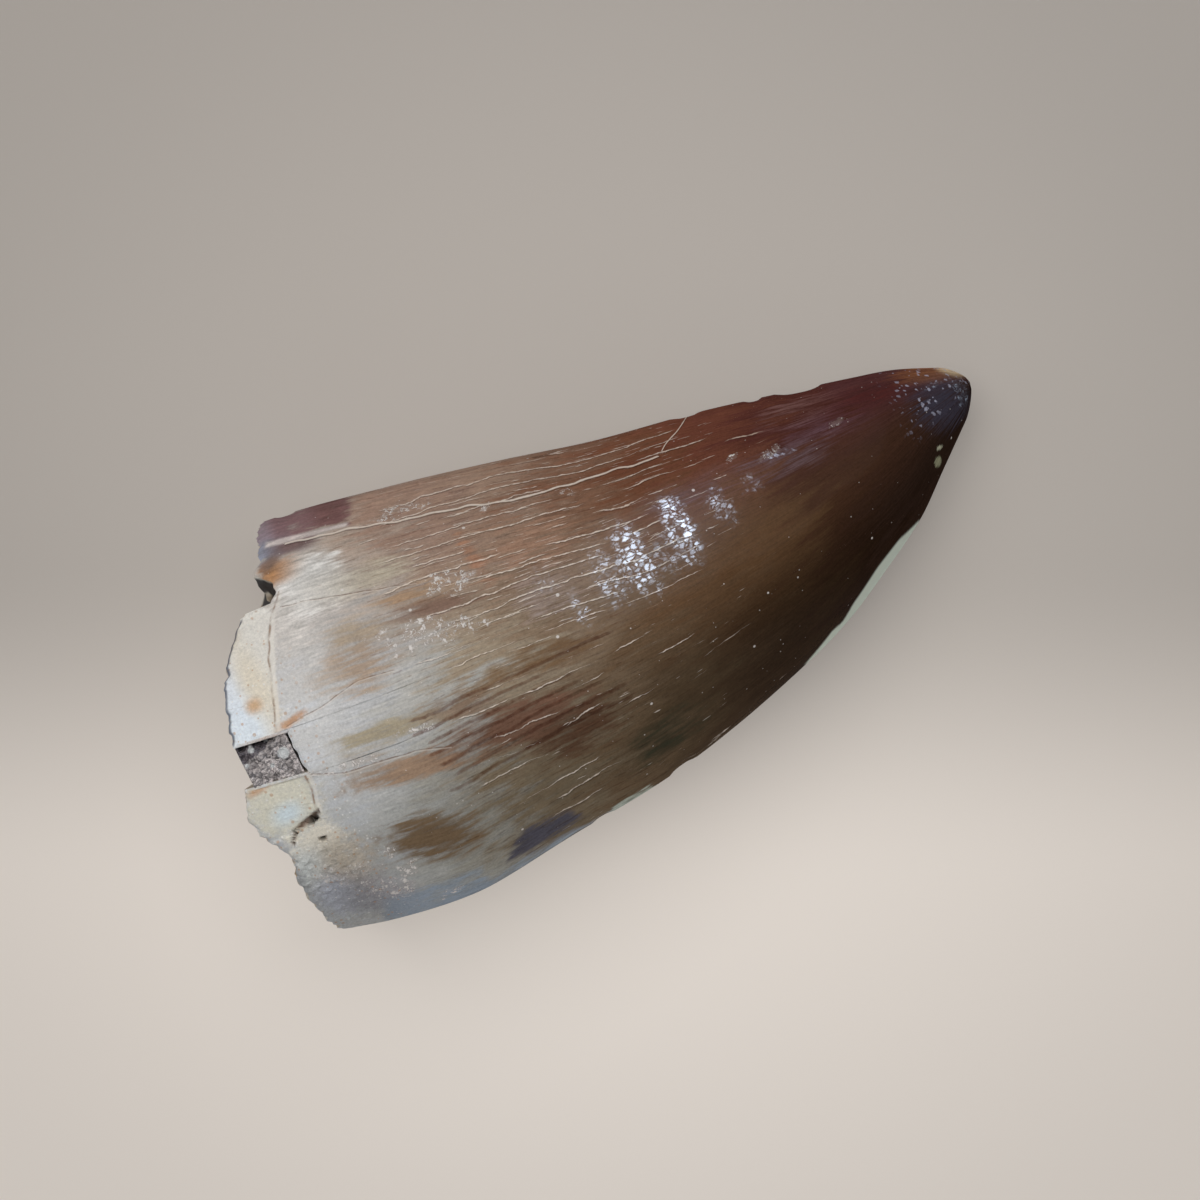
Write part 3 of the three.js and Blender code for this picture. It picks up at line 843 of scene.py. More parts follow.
class FossilToothStage(bpy.types.PropertyGroup):
    floor_low: colour_field("Floor front", "Floor tone at the foot of the picture", 182, 175, 168)
    floor_high: colour_field("Floor back", "Floor tone at the head of the picture", 144, 138, 132)
    soft_light: light_field("Soft light", "Radiance of the large soft light", 2.8)
    fill_light: light_field("Fill light", "Radiance of the lights on three sides", 0.8)
    room_light: light_field("Room light", "Radiance of the room all round", 0.05)
    window_light: light_field("Window light", "Share of the window panes' radiance", 1)
    lens: FloatProperty(name="Lens", description="Focal length of the camera", default=250, unit="CAMERA")


def beyond(distance, outside):
    """Pushes a signed distance far away where a crack isn't drawn, and keeps its sign."""
    return distance + np.where(distance < 0, -FAR, FAR) * outside


def tooth_columns(count):
    """Angles of the mesh columns: even on each face, with close pairs at the walls of the missing pieces."""
    upward = np.linspace(0, 180, count, endpoint=False)
    downward = np.linspace(180, 360, round(count * UNDERSIDE_SHARE), endpoint=False)
    walls = np.array([GAP[0], GAP[1], POCKET[0], POCKET[1]], float)
    even = np.concatenate([upward, downward])
    clear = even[np.abs(even[:, None] - walls).min(1) > WALL_CLEAR]
    return np.sort(np.concatenate([clear, walls - WALL_HALF, walls + WALL_HALF]))


def tooth_rows(count):
    """Shares of the way from the tip (1) to the rim (0), closer together at both ends."""
    even = 1 - np.arange(1, count + 1) / count
    return even - 0.5 * np.sin(2 * math.pi * even) / (2 * math.pi)


def strongest(ovals, station, y, softness):
    """The greatest of several ovals' masks at each point."""
    return np.max([blob(station, y, (*oval, softness)) for oval in ovals], axis=0)


def crown_marks(station, angle, y):
    """Where the crown carries each kind of mark, 0 to 1, by the name that the material reads."""
    top = np.sin(np.radians(angle)) > 0
    slit_gap = np.abs(y - np.interp(station, *np.array(sorted(SLIT)).T))
    slit_gap = slit_gap + FAR * ((station > SLIT[0][0]) | (station < SLIT[-1][0]))
    glints = [strength * blob(station, y, oval) for *oval, strength in POLISHED]
    gloss = PLAIN_GLOSS - DULL_LOSS * blob(station, y, DULL_PATCH) * top
    flake_width = along(FLAKE, station)
    from_edge = section_at(station)[1] * (1 + np.cos(np.radians(angle)))
    return {
        "slit": (1 - soft_step(slit_gap, *SLIT_EDGE)) * top,
        "hole": strongest(PITS, station, y, 0.35) * top,
        "lobe": top * soft_step(-y, 5.5, 7.5) * (1 - soft_step(station, 3.5, 7.5)),
        "crust": strongest(CRUSTS, station, y, 0.6) * top,
        "polished": gloss + VEIL_STRENGTH * blob(station, y, VEIL) * top,
        "glint": np.max(glints, axis=0) * top,
        "flaked": top * soft_step(flake_width - from_edge, -0.12, 0.06) * (flake_width > 0.02),
    }


def crown_relief(crown, station, angle, from_rim, marks):
    """Height of the crown's fine relief, in millimetres, which fades to nothing at the cutting edges.

    It sums a slow swell, grit near the break and on rough marks, crusts, the slit, pits and the worn rim.
    """
    drawn_out = np.stack([station * 0.35, angle * 0.12 + 0 * station], -1)
    swell = SWELL * ripple(drawn_out, 1.6, 11)
    grit = COARSE_GRIT * ripple(crown, 0.7, 13) + FINE_GRIT * ripple(crown, 0.35, 14)
    near_break = 1 - soft_step(from_rim, 0.5, 6)
    worn = (1 - soft_step(from_rim, 0, RIM_WEAR_WIDTH)) ** 2
    height = swell * soft_step(NOMINAL_LENGTH - station, 0.5, 6)
    height = height + grit * (0.25 * near_break + 1.1 * marks["lobe"] + 0.5 * marks["crust"])
    height = height + CRUST_HEIGHT * marks["crust"] - SLIT_DEPTH * marks["slit"]
    height = height - PIT_DEPTH * marks["hole"] - RIM_WEAR * worn
    return height * np.abs(np.sin(np.radians(angle))) ** 0.5


def root_grid(last_ring, rim, angle, roughness):
    """The rough fracture face from the crown's last ring to the cavity's mouth, then the cavity's wall."""
    share = np.linspace(0, 1, FACE_RINGS + 1)[1:, None]
    face = last_ring + (cavity_point(rim + RIM_SLOPE, angle) - last_ring) * share[..., None]
    fracture = ripple(face, 1.1, 15) + 0.5 * ripple(face, 0.4, 16)
    face[..., 0] += roughness * fracture * np.sin(math.pi * share) ** 0.5
    face[..., 0] = np.maximum(face[..., 0], 0)
    inwards = np.sin(np.linspace(0, 1, CAVITY_RINGS + 2)[1:-1, None] * math.pi / 2)
    deep = rim + RIM_SLOPE + (CAVITY_END - rim - RIM_SLOPE) * inwards
    return np.concatenate([face, cavity_point(deep, angle)])


def crack_distances(station, y, top, wobble):
    """Signed distance of each point from each crack, in millimetres, by the crack's name."""
    found = {}
    for name, line, low, high in (("crack_a", CRACK_A, 1.2, 9.4), ("crack_b", CRACK_B, -4.6, -1.5)):
        found[name] = beyond(side_of(line, station, y) + wobble, (y < low) | (y > high) | ~top)
    for name, (line, _, _) in LONG_CRACKS.items():
        away = y - along(line, station) + wobble * 0.6
        found[name] = beyond(away, (station < line[0][0]) | (station > line[-1][0]) | ~top)
    return found


def pocket_darkness(station, y, angle):
    """Painted shade on the root behind the open pocket: two soft dark spots, less a pale crumb in the first.
    """
    dark = np.exp(-((station - 8) / 5) ** 2 - ((angle - 46) / 24) ** 2)
    dark += np.exp(-((station - 6.5) / 4) ** 2 - ((angle - 312) / 14) ** 2)
    return dark * (1 - blob(station, y, CRUMB))


def build_tooth(sizes, colours):
    """The whole tooth as one skin: crown from tip to rim, fracture face, then the pulp cavity's wall."""
    angle = tooth_columns(sizes.columns)[None, :]
    rim = rim_station(angle)
    station = rim + (NOMINAL_LENGTH - rim) * tooth_rows(sizes.rows)[:, None]
    from_rim = station - rim
    crown = outer_point(station, angle)
    y = crown[..., 1]
    marks = crown_marks(station, angle, y)
    relief = crown_relief(crown, station, angle, from_rim, marks)
    crown = crown + surface_normals(crown) * relief[..., None]
    crown[..., 2] = np.maximum(crown[..., 2], 0)

    root = root_grid(crown[-1:], rim, angle, sizes.break_roughness / MM)
    grid = np.concatenate([crown, root])
    slots = np.array([0] * len(crown) + [1] * len(root))
    tip = outer_point(np.array([float(NOMINAL_LENGTH)]), np.array([90.0]))[0]
    root_end = cavity_centre(np.array([float(CAVITY_END)]))[0]
    materials = [enamel_material(sizes, colours), root_material(colours)]
    mesh = closed_mesh("tooth_surface", tip, grid, root_end, materials, slots)

    up = np.sin(np.radians(angle))
    across = np.cos(np.radians(angle)) + 0 * grid[..., 0]
    all_stations = np.concatenate([station, root[..., 0]])
    store(mesh, "station", NOMINAL_LENGTH, all_stations, CAVITY_END)
    store(mesh, "across", 0, across, 0)
    store(mesh, "round", 1, 1 - across, 1)
    store(mesh, "below", 0, soft_step(-up, -0.25, 0.25) + 0 * grid[..., 0], 0)
    store(mesh, "half_width", 0.1, section_at(all_stations)[1], 1)
    darkness = pocket_darkness(root[..., 0], root[..., 1], angle)
    store(mesh, "darkness", 0, np.concatenate([0 * station, darkness]), 0)
    # Painted shade: a dark strip along the broken rim between the pocket and the gap.
    dark_rim = 1 - soft_step(from_rim + 0.03 * ripple(crown, 0.8, 33), 0.1, 0.26)
    marks["dark_rim"] = dark_rim * within(angle, (POCKET[1] + 1, GAP[0] - 0.5))
    colour, marks["stain_and_sheen_share"] = stain_and_sheen_layer(station, y, soft_step(up, -0.35, -0.1) + 0 * station)
    store_crown(mesh, marks, darkness.shape)
    cracks = crack_distances(station, y, up > 0, 0.05 * ripple(crown[..., :2], 1.6, 21))
    store_crown(mesh, cracks, darkness.shape, FAR)
    store_colour(mesh, "stain_and_sheen_colour", colour)
    return place("tooth_fossil", mesh, "enamel", "tooth")


def patch_layers(station, y, patches):
    """Each patch's mask, its softer surroundings, its strength and its display tone."""
    layers = []
    for corners, softness, strength, shown in patches:
        inside, around = (patch(station, y, corners, reach) for reach in (softness, 6 * softness))
        layers.append((inside, around, strength, shown))
    return layers


def stain_and_sheen_layer(station, y, top):
    """The stains and painted sheens laid over each other in order: their colour where they cover, and how
    much they cover.

    A little of each one's colour spreads past its edge, so that no fringe of another colour shows there.
    """
    weight = np.full(station.shape, 1e-4)
    colour = weight[..., None] * np.array(tone(150, 130, 110))
    share = np.zeros(station.shape)
    layers = patch_layers(station, y, PATCHES_BELOW)
    for *oval, strength, display in STAINS_AND_SHEENS:
        wide = (*oval[:2], oval[2] * 1.5, oval[3] * 1.5, oval[4], 0.6)
        layers.append((blob(station, y, oval), blob(station, y, wide), strength, display))
    layers += patch_layers(station, y, PATCHES)
    for inside, around, strength, display in layers:
        cover = inside * strength * top
        pull = cover + around * top * 1e-2
        colour = colour * (1 - cover)[..., None] + np.array(tone(*display)) * pull[..., None]
        weight = weight * (1 - cover) + pull
        share = share * (1 - cover) + cover
    return colour / weight[..., None], share


def sediment_front(angle):
    """Station where the face of the sediment meets its side: behind the rim, and deeper behind the pocket."""
    away = np.abs(angle - (POCKET[0] + POCKET[1]) / 2) / (POCKET[1] - POCKET[0])
    front = along(BROKEN_RIM, angle) + SEDIMENT_RECESS + POCKET_HOLLOW * (1 - soft_step(away, 0.4, 1))
    return np.where(in_gap(angle), SEDIMENT_GAP_FRONT, front)


def in_gap(angle):
    """Whether each angle lies in the gap of the rim, clear of its walls."""
    return within(angle, (GAP[0] + GAP_MARGIN, GAP[1] - GAP_MARGIN))


def sediment_side(station, angle):
    """Point of the sediment's side: the cavity's wall, or in the gap a bed that dips beside one piece."""
    fills_gap = in_gap(angle) & (station < GAP[2] - LEDGE_STEP)
    dip = BED_DIP * (1 - soft_step(angle - GAP[0], 0.5, 3.2))
    dip = dip * (1 - soft_step(np.abs(station - 2.7), 0.9, 1.6))
    bed = section_point(station, angle, SEDIMENT_GAP_DEPTH + dip)
    return np.where(fills_gap[..., None], bed, cavity_point(station, angle, CLEARANCE))


def build_sediment(sizes, colours):
    """The sandy fill: a disc of rings from its middle to its edge, then its sides to the cavity's end."""
    walls = (GAP[0] + GAP_MARGIN, GAP[1] - GAP_MARGIN)
    close = np.linspace(walls[0] + 0.1, walls[1] - 0.1, GAP_COLUMNS)
    rest = np.linspace(walls[1], walls[0] + 360, OTHER_COLUMNS + 2)[1:-1] % 360
    pairs = [walls[0] - 0.1, walls[1] + 0.1]
    angle = np.sort(np.concatenate([close, rest, pairs]))[None, :]
    front = sediment_front(angle)
    edge = sediment_side(front, angle)
    middle = cavity_centre(np.array([float(SEDIMENT_MIDDLE)]))[0]
    share = (np.arange(1, DISC_RINGS + 1) / DISC_RINGS)[:, None, None]
    face = middle + (edge - middle) * share
    lumps = np.sin(face[..., 1] * 1.3) * np.cos(face[..., 2] * 1.1)
    lumps += 0.5 * np.sin(face[..., 1] * 2.3 + face[..., 2] * 1.9)
    bowl = middle[0] + (edge[..., 0] - middle[0]) * share[..., 0] ** 3
    face[..., 0] = bowl + SEDIMENT_LUMP * lumps * (1 - share[..., 0] ** 4)
    inner_end = CAVITY_END - 2 * CLEARANCE
    ledge = np.maximum(GAP[2] - LEDGE_STEP, front + 0.2)
    outer = front + (ledge - LEDGE_STEP - front) * ((np.arange(BED_RINGS) + 0.6) / (BED_RINGS - 0.4))[:, None]
    rounded_off = np.sin(np.arange(SIDE_RINGS) / (SIDE_RINGS - 1) * math.pi / 2)[:, None]
    inner = ledge + LEDGE_STEP + (inner_end - ledge - LEDGE_STEP) * rounded_off
    outer_side, inner_side = sediment_side(outer, angle), sediment_side(inner, angle)
    grid = np.concatenate([face, outer_side, inner_side])
    normals = -surface_normals(grid)
    grains = sum(height * ripple(grid, wavelength, seed) for height, wavelength, seed in GRAIN_RELIEF)
    on_face = np.ones(face.shape[:2]) * (share[..., 0] < 0.97)
    bare = np.concatenate([on_face, in_gap(angle) & (outer < ledge - 0.2), 0 * inner])
    grid = (grid + normals * (grains * bare)[..., None])[::-1]
    end = cavity_centre(np.array([float(CAVITY_END - CLEARANCE)]))[0]
    material = sediment_material(sizes, colours)
    mesh = closed_mesh("sediment_surface", end, grid, middle, [material], np.zeros(len(grid), int))
    upward = soft_step(grid[..., 2], 16, 16.8)
    clast = np.zeros(grid.shape[:2])
    for at, height, radius in CLASTS:
        away = np.hypot(grid[..., 0] - at, grid[..., 1] - height)
        clast = np.maximum(clast, 1 - soft_step(away, radius * 0.8, radius * 1.1))
    store(mesh, "clast", 0, clast * upward, 0)
    store(mesh, "shaded", 0, patch(grid[..., 0], grid[..., 1], *SHADED_SEDIMENT) * upward, 0)
    return place("sediment_fill", mesh, "sediment", "matrix_plug")


def streaked(g, start, streaks, gains):
    """A value shifted by the growth streaks, each size of them by its own gain."""
    for label, gain in gains.items():
        start = g.plus(start, g.centred(streaks[label], gain))
    return start


def crown_colour(g, streaks):
    """The enamel's tone: ramps along the crown for its middle and both sides, streaked, then stained, with
    painted sheens among the stains.
    """
    station, across, place_mm = g.attribute("station"), g.attribute("across"), g.place()
    look = g.maths("DIVIDE", station, NOMINAL_LENGTH)
    look = streaked(g, look, streaks, {"Wide": 0.2, "Middle": 0.24, "Fine": 0.16})
    tables = (MIDDLE_TONES, UPPER_TONES, LOWER_TONES)
    tones = [g.ramp(look, [(at, tone(*shown)) for at, shown in table]) for table in tables]
    colour = g.mix(g.mask(across, 0.0, 0.75), tones[0], tones[1])
    colour = g.mix(g.mask(across, 0.05, -0.7), colour, tones[2])

    share = g.attribute("stain_and_sheen_share")
    drawn_out = streaked(g, 0.0, streaks, {"Middle": 1.1, "Fine": 1.5, "Hair": 0.7})
    blotchy = g.centred(g.noise(place_mm, 1.6, 5, 0.65), 1.6)
    broken = g.plus(drawn_out, g.times(g.mask(station, 9, 6), g.minus(blotchy, drawn_out)))
    stain_and_sheen = g.times_plus(broken, g.mask(share, 1.0, 0.7, 0.5, 1.0), share)
    stain_and_sheen = g.times(g.mask(stain_and_sheen, 0.1, 0.9), g.mask(share, 0.0, 0.35))
    colour = g.mix(stain_and_sheen, colour, g.attribute("stain_and_sheen_colour", "Color"))

    shade = streaked(g, 0.0, streaks, {"Middle": 0.35, "Fine": 0.7, "Hair": 0.6})
    shade = g.times_plus(shade, g.mask(station, 6.5, 9, 0.15, 1.0), 1)
    shade = g.plus(shade, g.centred(g.noise(place_mm, 5.5, 4, 0.75), 0.8))
    # Painted light: the colour is made up to a quarter lighter towards both cutting edges.
    edge = g.mask(g.maths("ABSOLUTE", across), 0.75, 1.0, 1.0, 1.25)
    return g.mix(1, colour, g.times(shade, edge), "MULTIPLY"), look


def cracked(g, colour, look, sizes, colours, side):
    """Draws the fine and the long cracks: pale cores with a painted shadow below, brown cores with a painted
    highlight below.
    """
    station, across = g.attribute("station"), g.attribute("across")
    hairlines = hairline_group()
    width = sizes.hairline_width / MM

    def layer(lines, share, cover, reach, seed, beading=1.2):
        """One layer of hairlines, with its own number of lines, width, cover and breaks."""
        return g.group(
            hairlines, Station=station, Round=g.attribute("round"), Half_width=g.attribute("half_width"),
            Lines=lines, Width=width * share, Cover=cover, Reach=reach, Seed=g.plus(side, seed),
            Beading=beading,
        )

    grown = g.times(g.mask(station, 10, 18, 0.0, 1), g.mask(station, 46, 32, 0.2, 1))
    plain = g.times(g.mask(station, 14, 24, 0.5, 1), g.mask(across, 0.2, -0.1, 0, 0.75))
    plain = g.most(plain, g.times(g.mask(station, 26, 35), g.mask(across, -0.2, -0.5)))
    grown = g.times(grown, g.minus(1, g.times(plain, 0.4)))
    pale, lip = 0.0, 0.0
    for lines, share, cover, reach, strength, seed in HAIRLINES:
        crack = layer(lines, share, g.times(grown, cover), reach, seed)
        pale = g.most(pale, g.times(crack["Mask"], strength))
        lip = g.most(lip, g.times(crack["Shade"], strength))
    stained = layer(9, 0.5, g.mask(station, 18, 8, 0.0, 0.38), 0.2, 29)
    brown = g.times(stained["Mask"], 0.4)
    dash_cover = g.times(g.mask(station, 8, 15), g.mask(station, 34, 24, 0.2, 0.44))
    dashes = layer(26, 1.1, dash_cover, 0.8, 37)
    low_middle = g.times(g.mask(across, 0.0, -0.14), g.mask(across, -0.62, -0.5))
    low_middle = g.times(low_middle, g.times(g.mask(station, 10, 14), g.mask(station, 31, 22)))
    bands = layer(17, 3.4, g.times(low_middle, 0.56), 0.14, 53, 0.2)
    shake = g.noise(g.place(), 2.4, 3)
    for name, (_, line_width, is_pale) in LONG_CRACKS.items():
        reach = g.times(g.plus(shake, 0.3), line_width)
        core = g.times(reach, 0.4)
        away = g.attribute(name)
        near = g.mask(g.maths("ABSOLUTE", away), reach, core)
        # under: the lip below a long crack, given a painted shadow below pale cracks and a painted highlight
        # below brown ones.
        under = g.mask(g.maths("ABSOLUTE", g.plus(away, line_width)), reach, core)
        if is_pale:
            pale = g.most(pale, near)
            lip = g.most(lip, under)
        else:
            brown = g.most(brown, g.times(near, g.mask(shake, 0.35, 0.6, 0.3, 0.8)))
            pale = g.most(pale, g.times(under, 0.35))
    banded = g.times(bands["Mask"], g.times_plus(shake, 1.2, 0.1))
    for share, strength, name in ((banded, 0.75, "band"), (dashes["Mask"], 0.32, "dash")):
        colour = g.tint(colour, share, g.mix(1, colour, MARKS[name], "MULTIPLY"), strength)
    # Painted shadow along the lips below the pale cracks.
    colour = g.tint(colour, lip, MARKS["lip"], 0.4)
    colour = g.tint(colour, brown, colours.dark_crack, 0.75)
    crack_colour = g.mix(g.mask(look, 0.5, 0.95), colours.crack, MARKS["tip crack"])
    return g.tint(colour, pale, crack_colour, 0.85)


def crusted(g, colour, colours, dots):
    """Scatters pale granules: in clusters where a crust is, and singly all over."""
    crust, place_mm = g.attribute("crust"), g.place()
    clumps = g.centred(g.noise(place_mm, 1.6, 3, 0.6), 3.2)
    bed = g.times(g.mask(g.times_plus(crust, 0.75, clumps), 0.3, 0.8), g.mask(crust, 0.0, 0.4))
    bent = g.bent(place_mm, 3.0, 0.9)
    large = g.group(dots, Place=bent, Scale=2.2, Size=0.46, Share=0.55)["Mask"]
    small = g.group(dots, Place=bent, Scale=5.0, Size=0.55, Share=0.6)["Mask"]
    granules = g.times(g.most(large, small), bed)
    colour = g.tint(colour, bed, MARKS["crust bed"], 0.16)
    colour = g.tint(colour, granules, colours.crust)
    at_root = g.mask(g.attribute("station"), 8.2, 5.5)
    scattered = (
        (0.9, 0.1, 0.22, 1, colours.crust, 0.8),
        (2.6, 0.11, 0.2, 1, colours.crust, 0.55),
        (2.8, 0.3, 0.34, at_root, MARKS["rust speck"], 0.6),
        (4.3, 0.3, 0.25, at_root, MARKS["chalk speck"], 0.6),
    )
    for scale, size, share, region, shown, strength in scattered:
        specks = g.group(dots, Place=place_mm, Scale=scale, Size=size, Share=share)["Mask"]
        colour = g.tint(colour, g.times(specks, region), shown, strength)
    return colour, granules


def enamel_gloss(g, shader, matt):
    """The clear coat: a plain gloss on the crown, and pebbles of uneven brightness where it glints."""
    cells = g.bent(g.place(PEBBLE_STRETCH), 1.8, 0.55)
    plateaus = g.mask(g.cells(cells, PEBBLE_SCALE, "DISTANCE_TO_EDGE"), 0.0, 0.3)
    own = g.parts(g.cells(cells, PEBBLE_SCALE, output="Color"))[0]
    plateaus = g.times(plateaus, g.mask(own, 0.0, 0.9, 0.15, 1.15))
    area = g.attribute("glint")
    glint = g.plus(area, g.centred(g.noise(g.place(), 1.3, 5, 0.7), 2.6))
    glint = g.times(g.mask(glint, 0.0, 0.9), area)
    gloss = g.times(g.attribute("polished"), g.mask(g.attribute("station"), 4, 14, 0.3, 1))
    coat = g.times_plus(glint, plateaus, gloss)
    g.feed(shader["Coat Weight"], g.times(coat, g.mask(matt, 0.5, 0.0), clamp=True))
    shader["Coat Roughness"].default_value = COAT_ROUGHNESS
    shader["Coat IOR"].default_value = COAT_IOR
    shader["Specular IOR Level"].default_value = 0.0


def enamel_material(sizes, colours):
    """Glossy enamel: pale at the base, brown to black at the tip, streaked, stained and finely cracked."""
    material, g, shader = new_material("fossil_enamel")
    station, place_mm = g.attribute("station"), g.place()
    side = g.times(g.attribute("below"), 5)
    streaks = g.group(streak_group(), Station=station, Round=g.attribute("round"), Seed=side)
    dots = speck_group()
    colour, look = crown_colour(g, streaks)
    colour = cracked(g, colour, look, sizes, colours, side)
    colour, granules = crusted(g, colour, colours, dots)
    flaked, lobe = g.attribute("flaked"), g.attribute("lobe")
    colour = g.tint(colour, flaked, colours.dentine, 0.9)
    # Painted glints: pale bluish sparkles laid into the colour of the tip.
    at_tip = g.times(g.mask(station, 49, 51), g.mask(g.attribute("across"), -0.35, 0.0))
    shaken = g.bent(place_mm, 3.0, 0.5)
    painted_glints = g.group(dots, Place=shaken, Scale=2.5, Size=0.34, Share=0.7)["Mask"]
    colour = g.tint(colour, g.times(painted_glints, at_tip), MARKS["spark"], 0.6)
    # Along each settled piece's crack: a painted highlight on the crown's edge above the step, and a painted
    # shadow at the step's foot.
    broken = g.mask(g.noise(place_mm, 1.2, 3, 0.6), 0.4, 0.62, 0.15, 1.0)
    for name in ("crack_a", "crack_b"):
        away = g.attribute(name)
        edge_highlight = g.mask(g.maths("ABSOLUTE", g.minus(away, 0.2)), 0.2, 0.05)
        colour = g.tint(colour, edge_highlight, MARKS["piece ridge"], 0.4)
        shadow = g.mask(g.maths("ABSOLUTE", g.plus(away, 0.04)), 0.13, 0.02)
        colour = g.tint(colour, g.times(shadow, broken), MARKS["piece shadow"], 0.75)
    # Painted shade: the dark strip along the rim, and the pits painted near black. The slit keeps its own
    # brown.
    for name, mark, strength in (("dark_rim", "rim shade", 0.8), ("slit", "slit", 0.8), ("hole", "hole", 1)):
        colour = g.tint(colour, g.attribute(name), MARKS[mark], strength)
    g.feed(shader["Base Color"], colour)

    rough = g.plus(g.mask(station, 6, 30, 0.55, 0.4), g.centred(streaks["Fine"], 0.2))
    matt = g.most(g.most(granules, flaked), lobe)
    g.feed(shader["Roughness"], g.times_plus(matt, 0.35, rough, clamp=True))
    enamel_gloss(g, shader, matt)

    grain = sizes.enamel_grain / MM
    height = g.times_plus(streaks["Fine"], grain * 2, g.times(streaks["Hair"], grain))
    height = g.times_plus(granules, 0.035, height)
    at_root = g.mask(station, 8.5, 5, grain * 1.2, 0.065)
    height = g.times_plus(g.noise(place_mm, 4.5, 4, 0.7), g.times_plus(lobe, 0.22, at_root), height)
    bump(g, shader, height)
    return material


def root_material(colours):
    """Broken dentine: cream and brown, fibrous along the tooth, with painted shade where it faces the open
    pocket.
    """
    material, g, shader = new_material("broken_root")
    place_mm = g.place()
    mottle = g.mask(g.noise(place_mm, 0.6, 4, 0.6), 0.35, 0.7)
    fibres = g.noise(g.place((0.25, 1, 1)), 3.5, 3, 0.6)
    colour = g.mix(mottle, colours.root, MARKS["tan root"])
    colour = g.mix(1, colour, g.times_plus(g.minus(fibres, 0.5), 1.0, 1), "MULTIPLY")
    # Painted shade on the root behind the open pocket.
    colour = g.tint(colour, g.mask(g.attribute("darkness"), 0.1, 0.7, 0, 0.9), MARKS["root pocket shade"])
    g.feed(shader["Base Color"], colour)
    shader["Roughness"].default_value = 0.85
    bump(g, shader, g.times(g.plus(fibres, g.noise(place_mm, 7, 2)), 0.06))
    return material


def sediment_material(sizes, colours):
    """Sandy sediment: packed grains in two sizes, each with its own tone, and painted shade in the gaps
    between them.
    """
    material, g, shader = new_material("sandy_sediment")
    place_mm = g.place()
    coarse = MM / sizes.sediment_grain
    fine = coarse * 2.6
    own = [g.parts(g.cells(place_mm, scale, output="Color"))[0] for scale in (coarse, fine)]
    shade = g.times_plus(g.plus(g.times(own[0], 0.5), g.times(own[1], 0.5)), 1.5, 0.2)
    colour = g.mix(1, colours.sediment, shade, "MULTIPLY")
    gaps, fine_gaps = [g.cells(place_mm, scale, "DISTANCE_TO_EDGE") for scale in (coarse, fine)]
    # Painted shade in the gaps between the grains.
    colour = g.tint(colour, g.mask(gaps, 0.09, 0.0, 0, 0.6), MARKS["grain gap"])
    shaded = g.plus(g.attribute("shaded"), g.centred(g.noise(place_mm, 1.4, 3, 0.6), 1.2))
    colour = g.tint(colour, g.mask(shaded, 0.35, 0.75, 0.0, 0.8), MARKS["shaded sand"])
    colour = g.tint(colour, g.attribute("clast"), MARKS["pale stone"])
    g.feed(shader["Base Color"], colour)
    shader["Roughness"].default_value = 0.95
    rounded = g.times(g.mask(gaps, 0.0, 0.3), 0.12)
    bump(g, shader, g.times_plus(g.mask(fine_gaps, 0.0, 0.3), 0.05, rounded))
    return material


# The picture: its upward and rightward directions in the floor plane, the point in the middle of it and its
# width, in millimetres
PICTURE_TURN = math.radians(-26.9)
PICTURE_UP = (-math.sin(PICTURE_TURN), math.cos(PICTURE_TURN))
PICTURE_RIGHT = (math.cos(PICTURE_TURN), math.sin(PICTURE_TURN))
PICTURE_MIDDLE = (-0.84, -0.54, 9.0)
PICTURE_WIDTH = 78.5
SENSOR = 36.0
NEAREST_SEEN = 0.005

# The floor: how far up the picture it turns from one tone to the other, where a painted falloff of light
# darkens it away from the tooth and to what share, half its side in metres, and its own glow
FLOOR_FADE = (-20.0, 2.0)
FLOOR_DARKENS = (16, 58, 1.0, 0.82)
FLOOR_HALF = 0.8
FLOOR_GLOW = 0.8

# Soft lights: name, place right of and above the picture's middle, height and side in metres, setting, colour
SOFT_LIGHTS = [
    ("soft_overhead", -0.12, 0.2, 0.6, 0.6, "soft_light", (1, 0.985, 0.965)),
    ("fill_left", -0.6, -0.1, 0.35, 0.5, "fill_light", (0.9, 0.95, 1)),
    ("fill_right", 0.6, -0.2, 0.35, 0.5, "fill_light", (1, 0.98, 0.95)),
    ("fill_front", 0.0, -0.6, 0.35, 0.5, "fill_light", (0.95, 0.98, 1)),
]

# Window panes, each by the part of the crown that it glints on: station, half length, y from, y to, radiance
WINDOW_PANES = [(station, 1.7, -2.4, 3.8, 9) for station in (24, 27, 30, 33, 36, 39)]
WINDOW_PANES += [(52.6, 1.0, -0.6, 2.4, 5)]
WINDOW_DISTANCE = 150
WINDOW_COLOUR = (0.66, 0.8, 1)
ROOM_COLOUR = (0.86, 0.9, 1, 1)


def floor_material(stage):
    """A plain floor that grows paler towards the foot of the picture."""
    material, g, shader = new_material("plain_floor")
    coordinate = g.add("SeparateXYZ")
    g.feed(coordinate.inputs[0], g.place())
    up_the_picture = [g.times(coordinate.outputs[axis], PICTURE_UP[axis]) for axis in (0, 1)]
    colour = g.mix(g.mask(g.plus(*up_the_picture), *FLOOR_FADE), stage.floor_low, stage.floor_high)
    away = g.add("VectorMath", operation="LENGTH")
    g.feed(away.inputs[0], g.place())
    # Painted falloff of light: the floor darkens away from the tooth's middle.
    colour = g.mix(1, colour, g.mask(away.outputs["Value"], *FLOOR_DARKENS), "MULTIPLY")
    g.feed(shader["Base Color"], colour)
    g.feed(shader["Emission Color"], colour)
    shader["Emission Strength"].default_value = FLOOR_GLOW
    shader["Roughness"].default_value = 0.9
    shader["Specular IOR Level"].default_value = 0.1
    return material


